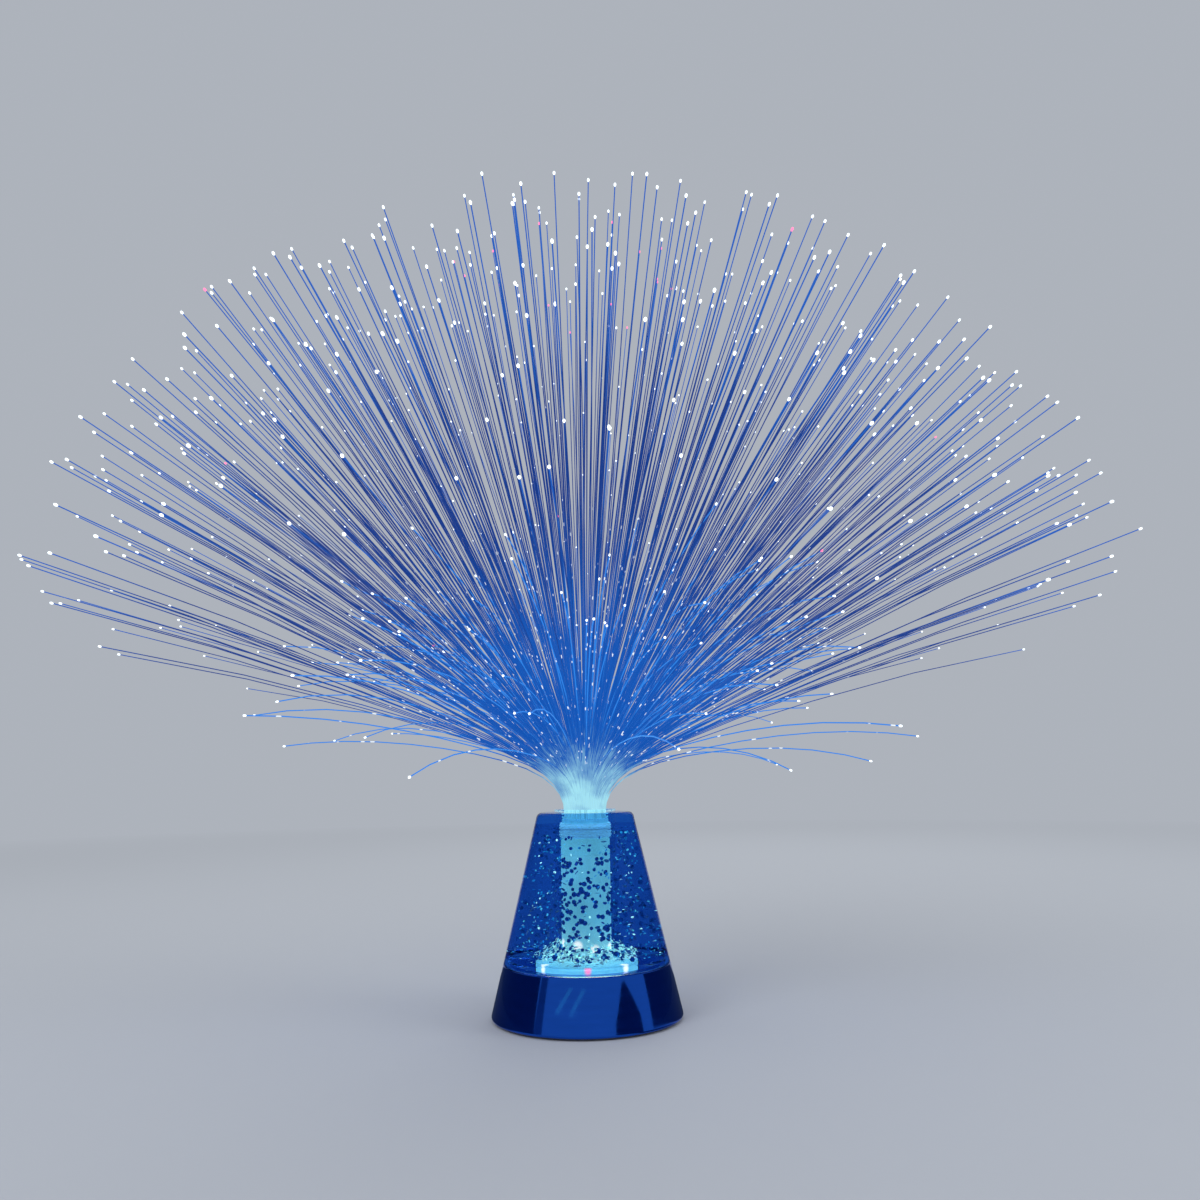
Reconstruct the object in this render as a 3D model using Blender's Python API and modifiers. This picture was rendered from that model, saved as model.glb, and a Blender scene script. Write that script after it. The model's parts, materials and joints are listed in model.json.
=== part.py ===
"""A battery fibre optic lamp: a chrome base that holds three cells and coloured LEDs,
a clear cone of glitter liquid round a light column, and a spray of plastic fibres that
stands on the column, turns in its socket and lifts out of it.
The origin is the middle of the surface that the lamp stands on, +Z up, metres.
"""

import math

import bmesh
import bpy
from mathutils import Matrix, Vector

# Fits shared by all the pieces
FIT_GAP = 0.0003
CUT_OVERRUN = 0.002
JOIN_DEPTH = 0.0004
MERGE_DISTANCE = 0.000001
LARGE_TURN_STEPS = 40
RING_TURN_STEPS = 24
SMALL_TURN_STEPS = 16
TINY_TURN_STEPS = 12

# Cells and their compartment
CELL_RADIUS = 0.00725
CELL_LENGTH = 0.0505
CELL_COUNT = 3
CELL_SPACING = 0.0004
CELL_NIPPLE_RADIUS = 0.00275
CELL_NIPPLE_LENGTH = 0.001
CELL_EDGE_BEVEL = 0.0006
SPRING_LENGTH = 0.0042
CONTACT_THICKNESS = 0.0004
BOX_WALL = 0.001

# Base
FOOT_HEIGHT = 0.0015
FOOT_RADIUS = 0.0035
FOOT_EDGE_DISTANCE = 0.0011
FOOT_SCREW_SPACE = 0.0025
PLATE_THICKNESS = 0.0018
DOOR_THICKNESS = 0.0012
SKIRT_WALL = 0.0018
SKIRT_FOOT_HEIGHT = 0.0008
SKIRT_CORNER_RADIUS = 0.0014
SKIRT_ROOM = 0.0005
WALL_LEAN_SHARE = 0.236
WIRE_RADIUS = 0.00055
DECK_THICKNESS = 0.0014
RIM_HEIGHT = 0.0013

# Light engine
BOARD_THICKNESS = 0.0016
BOARD_RADIUS = 0.0204
LED_RADIUS = 0.0025
LED_FLANGE_RADIUS = 0.0029
LED_FLANGE_HEIGHT = 0.0008
LED_BODY_HEIGHT = 0.0062
LED_RING_RADIUS = 0.0049
LED_COUNT = 4
CHIP_SIZE = (0.004, 0.005, 0.001)
RESISTOR_SIZE = (0.0016, 0.0032, 0.0006)
CHIP_DISTANCE = 0.0135
DIFFUSER_THICKNESS = 0.0008
DIFFUSER_WALL = 0.001
DIFFUSER_HEADROOM = 0.0016

# Glitter cone
CONE_HEIGHT = 0.0650
CONE_WALL = 0.002
CONE_TOP_THICKNESS = 0.0022
CONE_EDGE_RADIUS = 0.0018
EDGE_ARC_STEPS = 4
FLOOR_THICKNESS = 0.0023
FLOOR_FOOT_WIDTH = 0.0032
SEAL_DEPTH = 0.001
SEAL_WIDTH = 0.0013
LIQUID_AIR_SPACE = 0.0044

# Light column and the socket above it
COLUMN_RADIUS = 0.0099
COLUMN_WELL_RADIUS = 0.0086
COLUMN_WELL_DEPTH = 0.0079
SOCKET_DEPTH = 0.0117
SOCKET_OVERLAP = 0.0068
SOCKET_WALL = 0.0011
SOCKET_FLANGE_WIDTH = 0.0018
SOCKET_FLANGE_THICKNESS = 0.001

# Fibre bundle
GRIP_WALL = 0.0005
GRIP_HEIGHT = 0.0062
GRIP_RIB_HEIGHT = 0.0003
GRIP_RIB_COUNT = 3
FERRULE_WALL = 0.0005
FERRULE_HEIGHT = 0.0078
BUNDLE_COLLAR_RADIUS = 0.0099
SECTOR_COUNT = 8
SECTOR_GAP = 0.0002
SECTOR_STEPS = 4
STRAND_RADIUS = 0.00026
STRAND_SIDES = 3
STRAND_RING_STEP = 0.00105
STRAND_SINK = 0.0006
LONG_STRAND_LENGTH = 0.27
OUTER_TRIM_SHARE = 0.09
LONG_STRAND_RINGS = (1, 2, 3, 4, 5, 6, 8)
LONG_LEAN_STEP_DEGREES = 9.6
LONG_DROOP_DEGREES = 9.0
SHORT_STRAND_LENGTH = 0.17
SHORT_STRAND_RING = 9
SHORT_LEAN_DEGREES = 77.0
SHORT_LEAN_SPREAD_DEGREES = 6.0
SHORT_DROOP_DEGREES = 22.0
SHORT_DROOP_SPREAD_DEGREES = 20.0
STRAND_BEND_LENGTH = 0.0135
STRAND_TRACE_STEPS = 100
STRAND_BEND_POINTS = (0.011, 0.03)
LEAN_SPREAD_SHARE = 0.6
GOLDEN_SHARE = 0.618
LENGTH_SPREAD_SHARES = (0.0, 0.07, 0.02, 0.11, 0.04, 0.16, 0.01, 0.09, 0.05)

# Battery door, screws and switch
DOOR_EAR_LENGTH = 0.0058
DOOR_EAR_WIDTH = 0.008
DOOR_HOOK_WIDTH = 0.005
DOOR_HOOK_SPREAD = 0.0095
DOOR_HOOK_REACH = 0.0013
DOOR_HOOK_THICKNESS = 0.001
DOOR_HOOK_SWING = 0.0012
DOOR_BOSS_HEIGHT = 0.0056
DOOR_BOSS_WIDTH = 0.011
DOOR_BOSS_LENGTH = 0.0074
SCREW_RADIUS = 0.0009
SCREW_LENGTH = 0.0085
SCREW_HEAD_RADIUS = 0.002
SCREW_HEAD_HEIGHT = 0.001
SCREW_SLOT_WIDTH = 0.0005
SCREW_SLOT_DEPTH = 0.0004
SCREW_SWING_ROOM = 0.0007
POST_RADIUS = 0.0028
POST_HOLE_DEPTH = 0.0105
POST_BOX_GAP = 0.0008
SWITCH_SIZE = (0.012, 0.006, 0.0055)
SWITCH_WALL = 0.0014
SWITCH_TRAVEL = 0.003
SWITCH_STEM_SIZE = (0.0024, 0.0024)
SWITCH_STEM_DROP = 0.0012
SWITCH_SLIDER_SIZE = (0.0044, 0.0026, 0.0019)

# Springs
SPRING_WIRE_RADIUS = 0.00025
SPRING_SMALL_RADIUS = 0.0021
SPRING_LARGE_RADIUS = 0.0034
SPRING_TURNS = 3
SPRING_POINTS_PER_TURN = 8

# Heights, from the table up
plate_bottom = FOOT_HEIGHT + FIT_GAP
plate_top = plate_bottom + PLATE_THICKNESS
door_top = plate_bottom + DOOR_THICKNESS
cell_height = door_top + FIT_GAP + CELL_RADIUS
box_ceiling = cell_height + CELL_RADIUS + FIT_GAP
box_top = box_ceiling + BOX_WALL
board_bottom = box_top + FIT_GAP
board_top = board_bottom + BOARD_THICKNESS
wire_height = box_top + FIT_GAP + WIRE_RADIUS
deck_bottom = wire_height + WIRE_RADIUS + FIT_GAP / 2
deck_top = deck_bottom + DECK_THICKNESS
rim_top = deck_top + RIM_HEIGHT
cone_bottom = rim_top + FIT_GAP
cone_top = rim_top + CONE_HEIGHT
diffuser_bottom = board_top + FIT_GAP
diffuser_ceiling = board_top + DIFFUSER_HEADROOM
diffuser_top = diffuser_ceiling + DIFFUSER_THICKNESS
column_bottom = diffuser_top + FIT_GAP
floor_bottom = max(deck_top, diffuser_top) + FIT_GAP
floor_foot_bottom = deck_top + FIT_GAP
floor_top = floor_bottom + FLOOR_THICKNESS
column_top = cone_top - SOCKET_DEPTH
bundle_bottom = column_top + FIT_GAP
socket_top = cone_top + FIT_GAP + SOCKET_FLANGE_THICKNESS
ferrule_top = bundle_bottom + FERRULE_HEIGHT
bundle_top = socket_top + FIT_GAP

# Plan sizes
cell_pitch = 2 * CELL_RADIUS + CELL_SPACING
box_half_width = (CELL_COUNT - 1) / 2 * cell_pitch + CELL_RADIUS + FIT_GAP
contact_face = (CELL_LENGTH + SPRING_LENGTH + 2 * FIT_GAP) / 2
box_half_length = contact_face + CONTACT_THICKNESS + FIT_GAP
cell_shift = contact_face - FIT_GAP - CELL_LENGTH / 2
cell_shoulder = cell_shift + CELL_LENGTH / 2 - CELL_NIPPLE_LENGTH
box_corner_cut = (
    box_half_length - cell_shoulder + CELL_EDGE_BEVEL + FIT_GAP - math.hypot(FIT_GAP, FIT_GAP)
)
box_corner_radius = (
    math.hypot(box_half_length, box_half_width - box_corner_cut) + BOX_WALL
)
wall_thickness = SKIRT_WALL * math.hypot(1.0, WALL_LEAN_SHARE)
base_radius = box_corner_radius + SKIRT_ROOM + wall_thickness + WALL_LEAN_SHARE * box_top


def skin_radius(height):
    """The outer radius of the base and the cone, which share one straight side."""
    return base_radius - WALL_LEAN_SHARE * height


def skirt_inner_radius(height):
    return skin_radius(height) - wall_thickness


def cone_inner_radius(height):
    return skin_radius(height) - CONE_WALL * math.hypot(1.0, WALL_LEAN_SHARE)


plate_radius = skirt_inner_radius(plate_top) - FIT_GAP
floor_radius = cone_inner_radius(floor_top) - FIT_GAP
cone_hole_radius = (
    COLUMN_RADIUS + GRIP_WALL + GRIP_RIB_HEIGHT + FIT_GAP + SOCKET_WALL + FIT_GAP
)
socket_outer_radius = cone_hole_radius - FIT_GAP
socket_inner_radius = socket_outer_radius - SOCKET_WALL
grip_outer_radius = socket_inner_radius - FIT_GAP - GRIP_RIB_HEIGHT
grip_inner_radius = grip_outer_radius - GRIP_WALL
ferrule_outer_radius = grip_inner_radius - FIT_GAP
ferrule_inner_radius = ferrule_outer_radius - FERRULE_WALL
core_radius = ferrule_inner_radius - FIT_GAP
deck_hole_radius = BOARD_RADIUS + FIT_GAP
post_y = box_half_width + BOX_WALL + POST_BOX_GAP + POST_RADIUS
post_distance = skirt_inner_radius(deck_bottom) + wall_thickness / 2 - POST_RADIUS
post_x = math.sqrt(post_distance**2 - post_y**2)
screw_head_bottom = plate_bottom - FIT_GAP - SCREW_HEAD_HEIGHT
foot_distance = plate_radius - FOOT_RADIUS - FOOT_EDGE_DISTANCE
switch_distance = (box_half_width + skirt_inner_radius(plate_top)) / 2
door_end = box_half_length - FIT_GAP
door_hinge = -door_end
door_screw_distance = box_half_length + DOOR_EAR_LENGTH / 2

PIECES = "fibre_optic_lamp"
CUTTERS = "cutters"


def clear_scene():
    for obj in list(bpy.data.objects):
        bpy.data.objects.remove(obj, do_unlink=True)


def add_collection(name):
    group = bpy.data.collections.new(name)
    bpy.context.scene.collection.children.link(group)


def collect(obj, name):
    bpy.data.collections[name].objects.link(obj)


def finish(name, colour, roughness, metallic=0.0, clear=0.0, glow=0.0):
    """A Principled material: clear is its transmission and glow its own light."""
    mat = bpy.data.materials.new(name)
    mat.use_nodes = True
    shader = mat.node_tree.nodes["Principled BSDF"]
    shader.inputs["Base Color"].default_value = (*colour, 1.0)
    shader.inputs["Roughness"].default_value = roughness
    shader.inputs["Metallic"].default_value = metallic
    shader.inputs["Transmission Weight"].default_value = clear
    shader.inputs["Emission Color"].default_value = (*colour, 1.0)
    shader.inputs["Emission Strength"].default_value = glow
    return mat


def add_object(name, mesh, mat=None, location=(0.0, 0.0, 0.0), parent=None):
    """Links a mesh as a piece, or as a hidden cutter where it has no material."""
    obj = bpy.data.objects.new(name, mesh)
    obj.location = location
    if mat is None:
        collect(obj, CUTTERS)
        obj.hide_render = True
        obj.display_type = "WIRE"
    else:
        collect(obj, PIECES)
        if not mesh.materials:
            mesh.materials.append(mat)
    if parent is not None:
        obj.parent = parent
        obj.matrix_parent_inverse = Matrix.Translation(parent.location).inverted()
    return obj


def turned(name, outline, mat=None, location=(0.0, 0.0, 0.0), steps=LARGE_TURN_STEPS,
           ring=True, parent=None):
    """Turns (radius, height) points, which run down the outer side first, about Z."""
    bm = bmesh.new()
    points = [bm.verts.new((radius, 0.0, height)) for radius, height in outline]
    for start, end in zip(points, points[1:]):
        bm.edges.new((start, end))
    if ring:
        bm.edges.new((points[-1], points[0]))
    mesh = bpy.data.meshes.new(name)
    bm.to_mesh(mesh)
    bm.free()
    obj = add_object(name, mesh, mat, location, parent)
    screw = obj.modifiers.new("Turn", "SCREW")
    screw.axis = "Z"
    screw.steps = steps
    screw.render_steps = steps
    screw.use_merge_vertices = True
    screw.merge_threshold = MERGE_DISTANCE
    screw.use_smooth_shade = False
    return obj


def disc(name, radius, bottom, top, mat=None, location=(0.0, 0.0, 0.0),
         steps=LARGE_TURN_STEPS, parent=None):
    outline = [(0.0, top), (radius, top), (radius, bottom), (0.0, bottom)]
    return turned(name, outline, mat, location, steps, ring=False, parent=parent)


def tube(name, outer, inner, bottom, top, mat=None, location=(0.0, 0.0, 0.0),
         steps=LARGE_TURN_STEPS, parent=None):
    outline = [(outer, top), (outer, bottom), (inner, bottom), (inner, top)]
    return turned(name, outline, mat, location, steps, parent=parent)


def box(name, low, high, mat=None, origin=(0.0, 0.0, 0.0), corner_cut=0.0, parent=None):
    """A box between two corners, with its upright edges cut where corner_cut is given."""
    bm = bmesh.new()
    bmesh.ops.create_cube(bm, size=1.0)
    size = [b - a for a, b in zip(low, high)]
    middle = [(a + b) / 2 - o for a, b, o in zip(low, high, origin)]
    bmesh.ops.scale(bm, vec=size, verts=bm.verts)
    bmesh.ops.translate(bm, vec=middle, verts=bm.verts)
    if corner_cut:
        upright = [e for e in bm.edges if is_upright(e)]
        bmesh.ops.bevel(bm, geom=upright, offset=corner_cut, segments=1,
                        profile=0.5, affect="EDGES")
    mesh = bpy.data.meshes.new(name)
    bm.to_mesh(mesh)
    bm.free()
    return add_object(name, mesh, mat, origin, parent)


def is_upright(edge):
    start, end = (v.co for v in edge.verts)
    return abs(start.z - end.z) > max(abs(start.x - end.x), abs(start.y - end.y))


def combine(obj, other, operation):
    change = obj.modifiers.new(other.name, "BOOLEAN")
    change.operation = operation
    change.solver = "EXACT"
    change.object = other


def cut(obj, *others):
    for other in others:
        combine(obj, other, "DIFFERENCE")


def join(obj, *others):
    for other in others:
        combine(obj, other, "UNION")


def bevel(obj, width, segments=2):
    rounding = obj.modifiers.new("Edges", "BEVEL")
    rounding.width = width
    rounding.segments = segments
    rounding.limit_method = "ANGLE"


def wire_curve(name, paths, radius, sides=None):
    """A curve of straight-sided splines: a round wire, or a prism where sides is given."""
    data = bpy.data.curves.new(name, "CURVE")
    data.dimensions = "3D"
    data.use_fill_caps = True
    if sides is None:
        data.bevel_depth = radius
        data.bevel_resolution = 1
    else:
        data.bevel_mode = "OBJECT"
        data.bevel_object = prism_guide(name + "_section", radius, sides)
    for path in paths:
        spline = data.splines.new("POLY")
        spline.points.add(len(path) - 1)
        for point, place in zip(spline.points, path):
            point.co = (*place, 1.0)
    return data


def prism_guide(name, radius, sides):
    data = bpy.data.curves.new(name, "CURVE")
    data.dimensions = "2D"
    spline = data.splines.new("POLY")
    spline.use_cyclic_u = True
    spline.points.add(sides - 1)
    for index, point in enumerate(spline.points):
        angle = 2 * math.pi * index / sides
        point.co = (radius * math.cos(angle), radius * math.sin(angle), 0.0, 1.0)
    guide = bpy.data.objects.new(name, data)
    collect(guide, CUTTERS)
    guide.hide_render = True
    return guide


def solid_from_curve(name, data):
    """The curve as a closed mesh, its caps welded to its sides."""
    holder = bpy.data.objects.new(name, data)
    collect(holder, CUTTERS)
    bpy.context.view_layer.update()
    graph = bpy.context.evaluated_depsgraph_get()
    mesh = bpy.data.meshes.new_from_object(holder.evaluated_get(graph))
    bpy.data.objects.remove(holder, do_unlink=True)
    bm = bmesh.new()
    bm.from_mesh(mesh)
    bmesh.ops.remove_doubles(bm, verts=bm.verts, dist=MERGE_DISTANCE)
    bmesh.ops.recalc_face_normals(bm, faces=bm.faces)
    bm.to_mesh(mesh)
    bm.free()
    return mesh


def ring_places(count, radius, start_degrees=0.0):
    for index in range(count):
        angle = math.radians(start_degrees) + 2 * math.pi * index / count
        yield radius * math.cos(angle), radius * math.sin(angle)


def corner_arc(radius, height, size, outward_lean):
    """Points of a rounded top edge, from its flat top to the leaning side below it."""
    side_angle = math.atan(outward_lean)
    for step in range(EDGE_ARC_STEPS + 1):
        share = step / EDGE_ARC_STEPS
        angle = math.pi / 2 + (side_angle - math.pi / 2) * share
        yield radius + size * math.cos(angle), height + size * math.sin(angle)


# Base


def post_places():
    for x in (-post_x, post_x):
        for y in (-post_y, post_y):
            yield x, y


def make_base_shell(chrome):
    rim_inner = skirt_inner_radius(rim_top)
    foot = SKIRT_FOOT_HEIGHT
    low_corner = foot + SKIRT_CORNER_RADIUS
    outline = [
        (skin_radius(rim_top), rim_top),
        (skin_radius(low_corner), low_corner),
        (skin_radius(foot) - SKIRT_CORNER_RADIUS / 4, foot + SKIRT_CORNER_RADIUS / 3),
        (skin_radius(foot) - SKIRT_CORNER_RADIUS, foot),
        (skirt_inner_radius(foot), foot),
        (skirt_inner_radius(deck_bottom), deck_bottom),
        (deck_hole_radius, deck_bottom),
        (deck_hole_radius, deck_top),
        (skirt_inner_radius(deck_top), deck_top),
        (rim_inner, rim_top),
    ]
    shell = turned("base_shell", outline, chrome)
    post_bottom = plate_top + FIT_GAP
    for number, (x, y) in enumerate(post_places(), 1):
        post = disc(f"post_{number}", POST_RADIUS, post_bottom, deck_bottom + JOIN_DEPTH,
                    location=(x, y, 0.0), steps=SMALL_TURN_STEPS)
        hole = disc(f"post_hole_{number}", SCREW_RADIUS + FIT_GAP / 2,
                    post_bottom - CUT_OVERRUN, plate_bottom + POST_HOLE_DEPTH,
                    location=(x, y, 0.0), steps=TINY_TURN_STEPS)
        join(shell, post)
        cut(shell, hole)
    return shell


def box_prism(name, grow, bottom, top, mat=None):
    """The compartment's plan with its corners cut, larger by grow, between two heights."""
    x = box_half_length + grow
    y = box_half_width + grow
    return box(name, (-x, -y, bottom), (x, y, top), mat,
               corner_cut=box_corner_cut + grow * math.tan(math.pi / 8))


def make_bottom_plate(black):
    plate = disc("bottom_plate", plate_radius, plate_bottom, plate_top, black)
    walls = box_prism("compartment_outside", BOX_WALL, plate_top - JOIN_DEPTH, box_top)
    boss_start = box_half_length + BOX_WALL / 2
    boss = box("door_boss", (boss_start, -DOOR_BOSS_WIDTH / 2, plate_top - JOIN_DEPTH),
               (boss_start + DOOR_BOSS_LENGTH, DOOR_BOSS_WIDTH / 2,
                plate_top + DOOR_BOSS_HEIGHT))
    cavity = box_prism("compartment_inside", 0.0, plate_bottom - CUT_OVERRUN, box_ceiling)
    ear_half = DOOR_EAR_WIDTH / 2 + FIT_GAP
    ear = box("ear_recess", (box_half_length - CUT_OVERRUN, -ear_half,
                             plate_bottom - CUT_OVERRUN),
              (box_half_length + DOOR_EAR_LENGTH + 2 * FIT_GAP, ear_half,
               door_top + FIT_GAP))
    screw_hole = disc("door_screw_hole", SCREW_RADIUS + SCREW_SWING_ROOM,
                      plate_bottom - CUT_OVERRUN, plate_top + DOOR_BOSS_HEIGHT + CUT_OVERRUN,
                      location=(door_screw_distance, 0.0, 0.0), steps=SMALL_TURN_STEPS)
    join(plate, walls, boss)
    cut(plate, cavity, ear, screw_hole)
    for number, y in enumerate((-DOOR_HOOK_SPREAD, DOOR_HOOK_SPREAD), 1):
        half = DOOR_HOOK_WIDTH / 2 + FIT_GAP
        cut(plate, box(f"hook_slot_{number}",
                       (-box_half_length - BOX_WALL - CUT_OVERRUN, y - half, plate_top),
                       (-box_half_length + CUT_OVERRUN, y + half,
                        plate_top + DOOR_HOOK_THICKNESS + 2 * FIT_GAP + DOOR_HOOK_SWING)))
    for number, (x, y) in enumerate(post_places(), 1):
        cut(plate, disc(f"plate_hole_{number}", SCREW_RADIUS + FIT_GAP,
                        plate_bottom - CUT_OVERRUN, plate_top + CUT_OVERRUN,
                        location=(x, y, 0.0), steps=TINY_TURN_STEPS))
    slot_x = SWITCH_STEM_SIZE[0] / 2 + SWITCH_TRAVEL / 2 + FIT_GAP
    slot_y = SWITCH_STEM_SIZE[1] / 2 + FIT_GAP
    cut(plate, box("switch_slot",
                   (-slot_x, -switch_distance - slot_y, plate_bottom - CUT_OVERRUN),
                   (slot_x, -switch_distance + slot_y, plate_top + CUT_OVERRUN)))
    for terminal in battery_terminals():
        cut(plate, tab_block(f"tab_slot_{terminal['name']}", terminal, FIT_GAP))
    return plate


def make_feet(rubber):
    for number, (x, y) in enumerate(foot_places(), 1):
        foot = disc(f"rubber_foot_{number}", FOOT_RADIUS, 0.0, FOOT_HEIGHT, rubber,
                    (x, y, 0.0), SMALL_TURN_STEPS)
        bevel(foot, FOOT_HEIGHT / 5, 1)


def foot_places():
    """Each foot lies on its own circle, beside a housing screw and clear of its head."""
    apart = FOOT_RADIUS + FOOT_SCREW_SPACE + SCREW_HEAD_RADIUS
    cosine = (post_distance**2 + foot_distance**2 - apart**2) / (
        2 * post_distance * foot_distance)
    turn = math.atan2(post_x, post_y) - math.acos(cosine)
    for x in (-foot_distance * math.sin(turn), foot_distance * math.sin(turn)):
        for y in (-foot_distance * math.cos(turn), foot_distance * math.cos(turn)):
            yield x, y


def make_battery_door(black):
    """The door hooks over the plate at its -X end and turns about its lower edge there."""
    origin = (door_hinge, 0.0, plate_bottom)
    half_width = box_half_width - FIT_GAP
    door = box("battery_door", (-door_end, -half_width, plate_bottom),
               (door_end, half_width, door_top), black, origin,
               corner_cut=box_corner_cut)
    ear_end = box_half_length + DOOR_EAR_LENGTH
    join(door, box("door_ear", (door_end - JOIN_DEPTH, -DOOR_EAR_WIDTH / 2, plate_bottom),
                   (ear_end, DOOR_EAR_WIDTH / 2, door_top)))
    hook_bottom = plate_top + FIT_GAP
    hook_top = hook_bottom + DOOR_HOOK_THICKNESS
    for number, y in enumerate((-DOOR_HOOK_SPREAD, DOOR_HOOK_SPREAD), 1):
        low, high = y - DOOR_HOOK_WIDTH / 2, y + DOOR_HOOK_WIDTH / 2
        stalk = box(f"hook_stalk_{number}", (door_hinge, low, door_top - JOIN_DEPTH),
                    (door_hinge + DOOR_HOOK_THICKNESS, high, hook_top))
        nose = box(f"hook_nose_{number}", (door_hinge - DOOR_HOOK_REACH, low, hook_bottom),
                   (door_hinge + DOOR_HOOK_THICKNESS / 2, high, hook_top))
        join(door, stalk, nose)
    cut(door, disc("ear_hole", SCREW_RADIUS + FIT_GAP, plate_bottom - CUT_OVERRUN,
                   door_top + CUT_OVERRUN, location=(door_screw_distance, 0.0, 0.0),
                   steps=TINY_TURN_STEPS))
    return door


def make_screw(name, place, length, steel):
    """A pan head screw that hangs under the plate, with a straight slot in its head."""
    head_top = screw_head_bottom + SCREW_HEAD_HEIGHT
    outline = [
        (0.0, head_top + length),
        (SCREW_RADIUS * 2 / 3, head_top + length),
        (SCREW_RADIUS, head_top + length - SCREW_RADIUS),
        (SCREW_RADIUS, head_top),
        (SCREW_HEAD_RADIUS, head_top),
        (SCREW_HEAD_RADIUS, screw_head_bottom + SCREW_HEAD_HEIGHT / 3),
        (SCREW_HEAD_RADIUS * 3 / 4, screw_head_bottom),
        (0.0, screw_head_bottom),
    ]
    screw = turned(name, outline, steel, (*place, 0.0), TINY_TURN_STEPS, ring=False)
    long_half = SCREW_HEAD_RADIUS + CUT_OVERRUN
    half = SCREW_SLOT_WIDTH / 2
    x, y = place
    cut(screw, box(f"{name}_slot", (x - long_half, y - half, screw_head_bottom - CUT_OVERRUN),
                   (x + long_half, y + half, screw_head_bottom + SCREW_SLOT_DEPTH)))
    return screw


# Power switch


def make_switch(black, lever):
    long_half, deep_half = SWITCH_SIZE[0] / 2, SWITCH_SIZE[1] / 2
    bottom = plate_top + FIT_GAP
    y = -switch_distance
    body = box("switch_body", (-long_half, y - deep_half, bottom),
               (long_half, y + deep_half, bottom + SWITCH_SIZE[2]), black)
    pocket_x, pocket_y = long_half - SWITCH_WALL, deep_half - SWITCH_WALL
    slider_top = bottom + FIT_GAP + SWITCH_SLIDER_SIZE[2]
    cut(body, box("switch_pocket", (-pocket_x, y - pocket_y, bottom - CUT_OVERRUN),
                  (pocket_x, y + pocket_y, slider_top + FIT_GAP)))
    rest_x = -SWITCH_TRAVEL / 2
    slider_x, slider_y = SWITCH_SLIDER_SIZE[0] / 2, SWITCH_SLIDER_SIZE[1] / 2
    stem_x, stem_y = SWITCH_STEM_SIZE[0] / 2, SWITCH_STEM_SIZE[1] / 2
    slider = box("power_switch", (rest_x - slider_x, y - slider_y, bottom + FIT_GAP),
                 (rest_x + slider_x, y + slider_y, slider_top), lever,
                 origin=(rest_x, y, bottom))
    join(slider, box("switch_stem",
                     (rest_x - stem_x, y - stem_y, plate_bottom - SWITCH_STEM_DROP),
                     (rest_x + stem_x, y + stem_y, bottom + FIT_GAP + JOIN_DEPTH)))


# Cells and contacts


def cell_rows():
    """(y, direction of the positive end) of each cell; the ends alternate."""
    for index in range(CELL_COUNT):
        y = (index - (CELL_COUNT - 1) / 2) * cell_pitch
        yield y, 1 if index % 2 == 0 else -1


def make_cells(jacket):
    for number, (y, direction) in enumerate(cell_rows(), 1):
        half = CELL_LENGTH / 2
        shoulder = half - CELL_NIPPLE_LENGTH
        outline = [
            (0.0, half),
            (CELL_NIPPLE_RADIUS, half),
            (CELL_NIPPLE_RADIUS, shoulder),
            (CELL_RADIUS - CELL_EDGE_BEVEL, shoulder),
            (CELL_RADIUS, shoulder - CELL_EDGE_BEVEL),
            (CELL_RADIUS, CELL_EDGE_BEVEL - half),
            (CELL_RADIUS - CELL_EDGE_BEVEL, -half),
            (0.0, -half),
        ]
        cell = turned(f"battery_{number}", outline, jacket,
                      (direction * cell_shift, y, cell_height), SMALL_TURN_STEPS,
                      ring=False)
        cell.rotation_euler = (0.0, direction * math.pi / 2, 0.0)


def make_springs(steel):
    """A conical helix behind the flat end of each cell."""
    count = SPRING_TURNS * SPRING_POINTS_PER_TURN
    length = SPRING_LENGTH - 2 * SPRING_WIRE_RADIUS
    for number, (y, direction) in enumerate(cell_rows(), 1):
        contact = -direction * (contact_face - FIT_GAP / 2 - SPRING_WIRE_RADIUS)
        path = []
        for step in range(count + 1):
            share = step / count
            angle = 2 * math.pi * SPRING_TURNS * share
            radius = SPRING_LARGE_RADIUS + (
                SPRING_SMALL_RADIUS - SPRING_LARGE_RADIUS) * share
            path.append((contact + direction * length * share,
                         y + radius * math.cos(angle),
                         cell_height + radius * math.sin(angle)))
        name = f"contact_spring_{number}"
        mesh = solid_from_curve(name, wire_curve(name, [path], SPRING_WIRE_RADIUS))
        add_object(name, mesh, steel)


def battery_terminals():
    """The two plates whose tabs pass through the compartment's walls to the wires."""
    rows = list(cell_rows())
    first_y, first_direction = rows[0]
    last_y, last_direction = rows[-1]
    return [
        {"name": "positive_contact", "y": first_y, "side": first_direction},
        {"name": "negative_contact", "y": last_y, "side": -last_direction},
    ]


def tab_block(name, terminal, grow, mat=None):
    """The solder tab of a terminal plate, larger all round by grow."""
    side, y = terminal["side"], terminal["y"]
    near = side * (contact_face - (CUT_OVERRUN if grow else 0.0))
    far = side * (box_half_length + BOX_WALL + 3 * WIRE_RADIUS + grow)
    half = 2 * WIRE_RADIUS + grow
    low = box_ceiling - 4 * WIRE_RADIUS - grow
    high = low + CONTACT_THICKNESS + 2 * grow
    return box(name, (min(near, far), y - half, low), (max(near, far), y + half, high), mat)


def contact_plate(name, side, y_low, y_high, mat):
    inner, outer = contact_face, contact_face + CONTACT_THICKNESS
    half = SPRING_LARGE_RADIUS + SPRING_WIRE_RADIUS
    low_x, high_x = sorted((side * inner, side * outer))
    return box(name, (low_x, y_low - half, cell_height - half),
               (high_x, y_high + half, box_ceiling - 3 * WIRE_RADIUS), mat)


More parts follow.
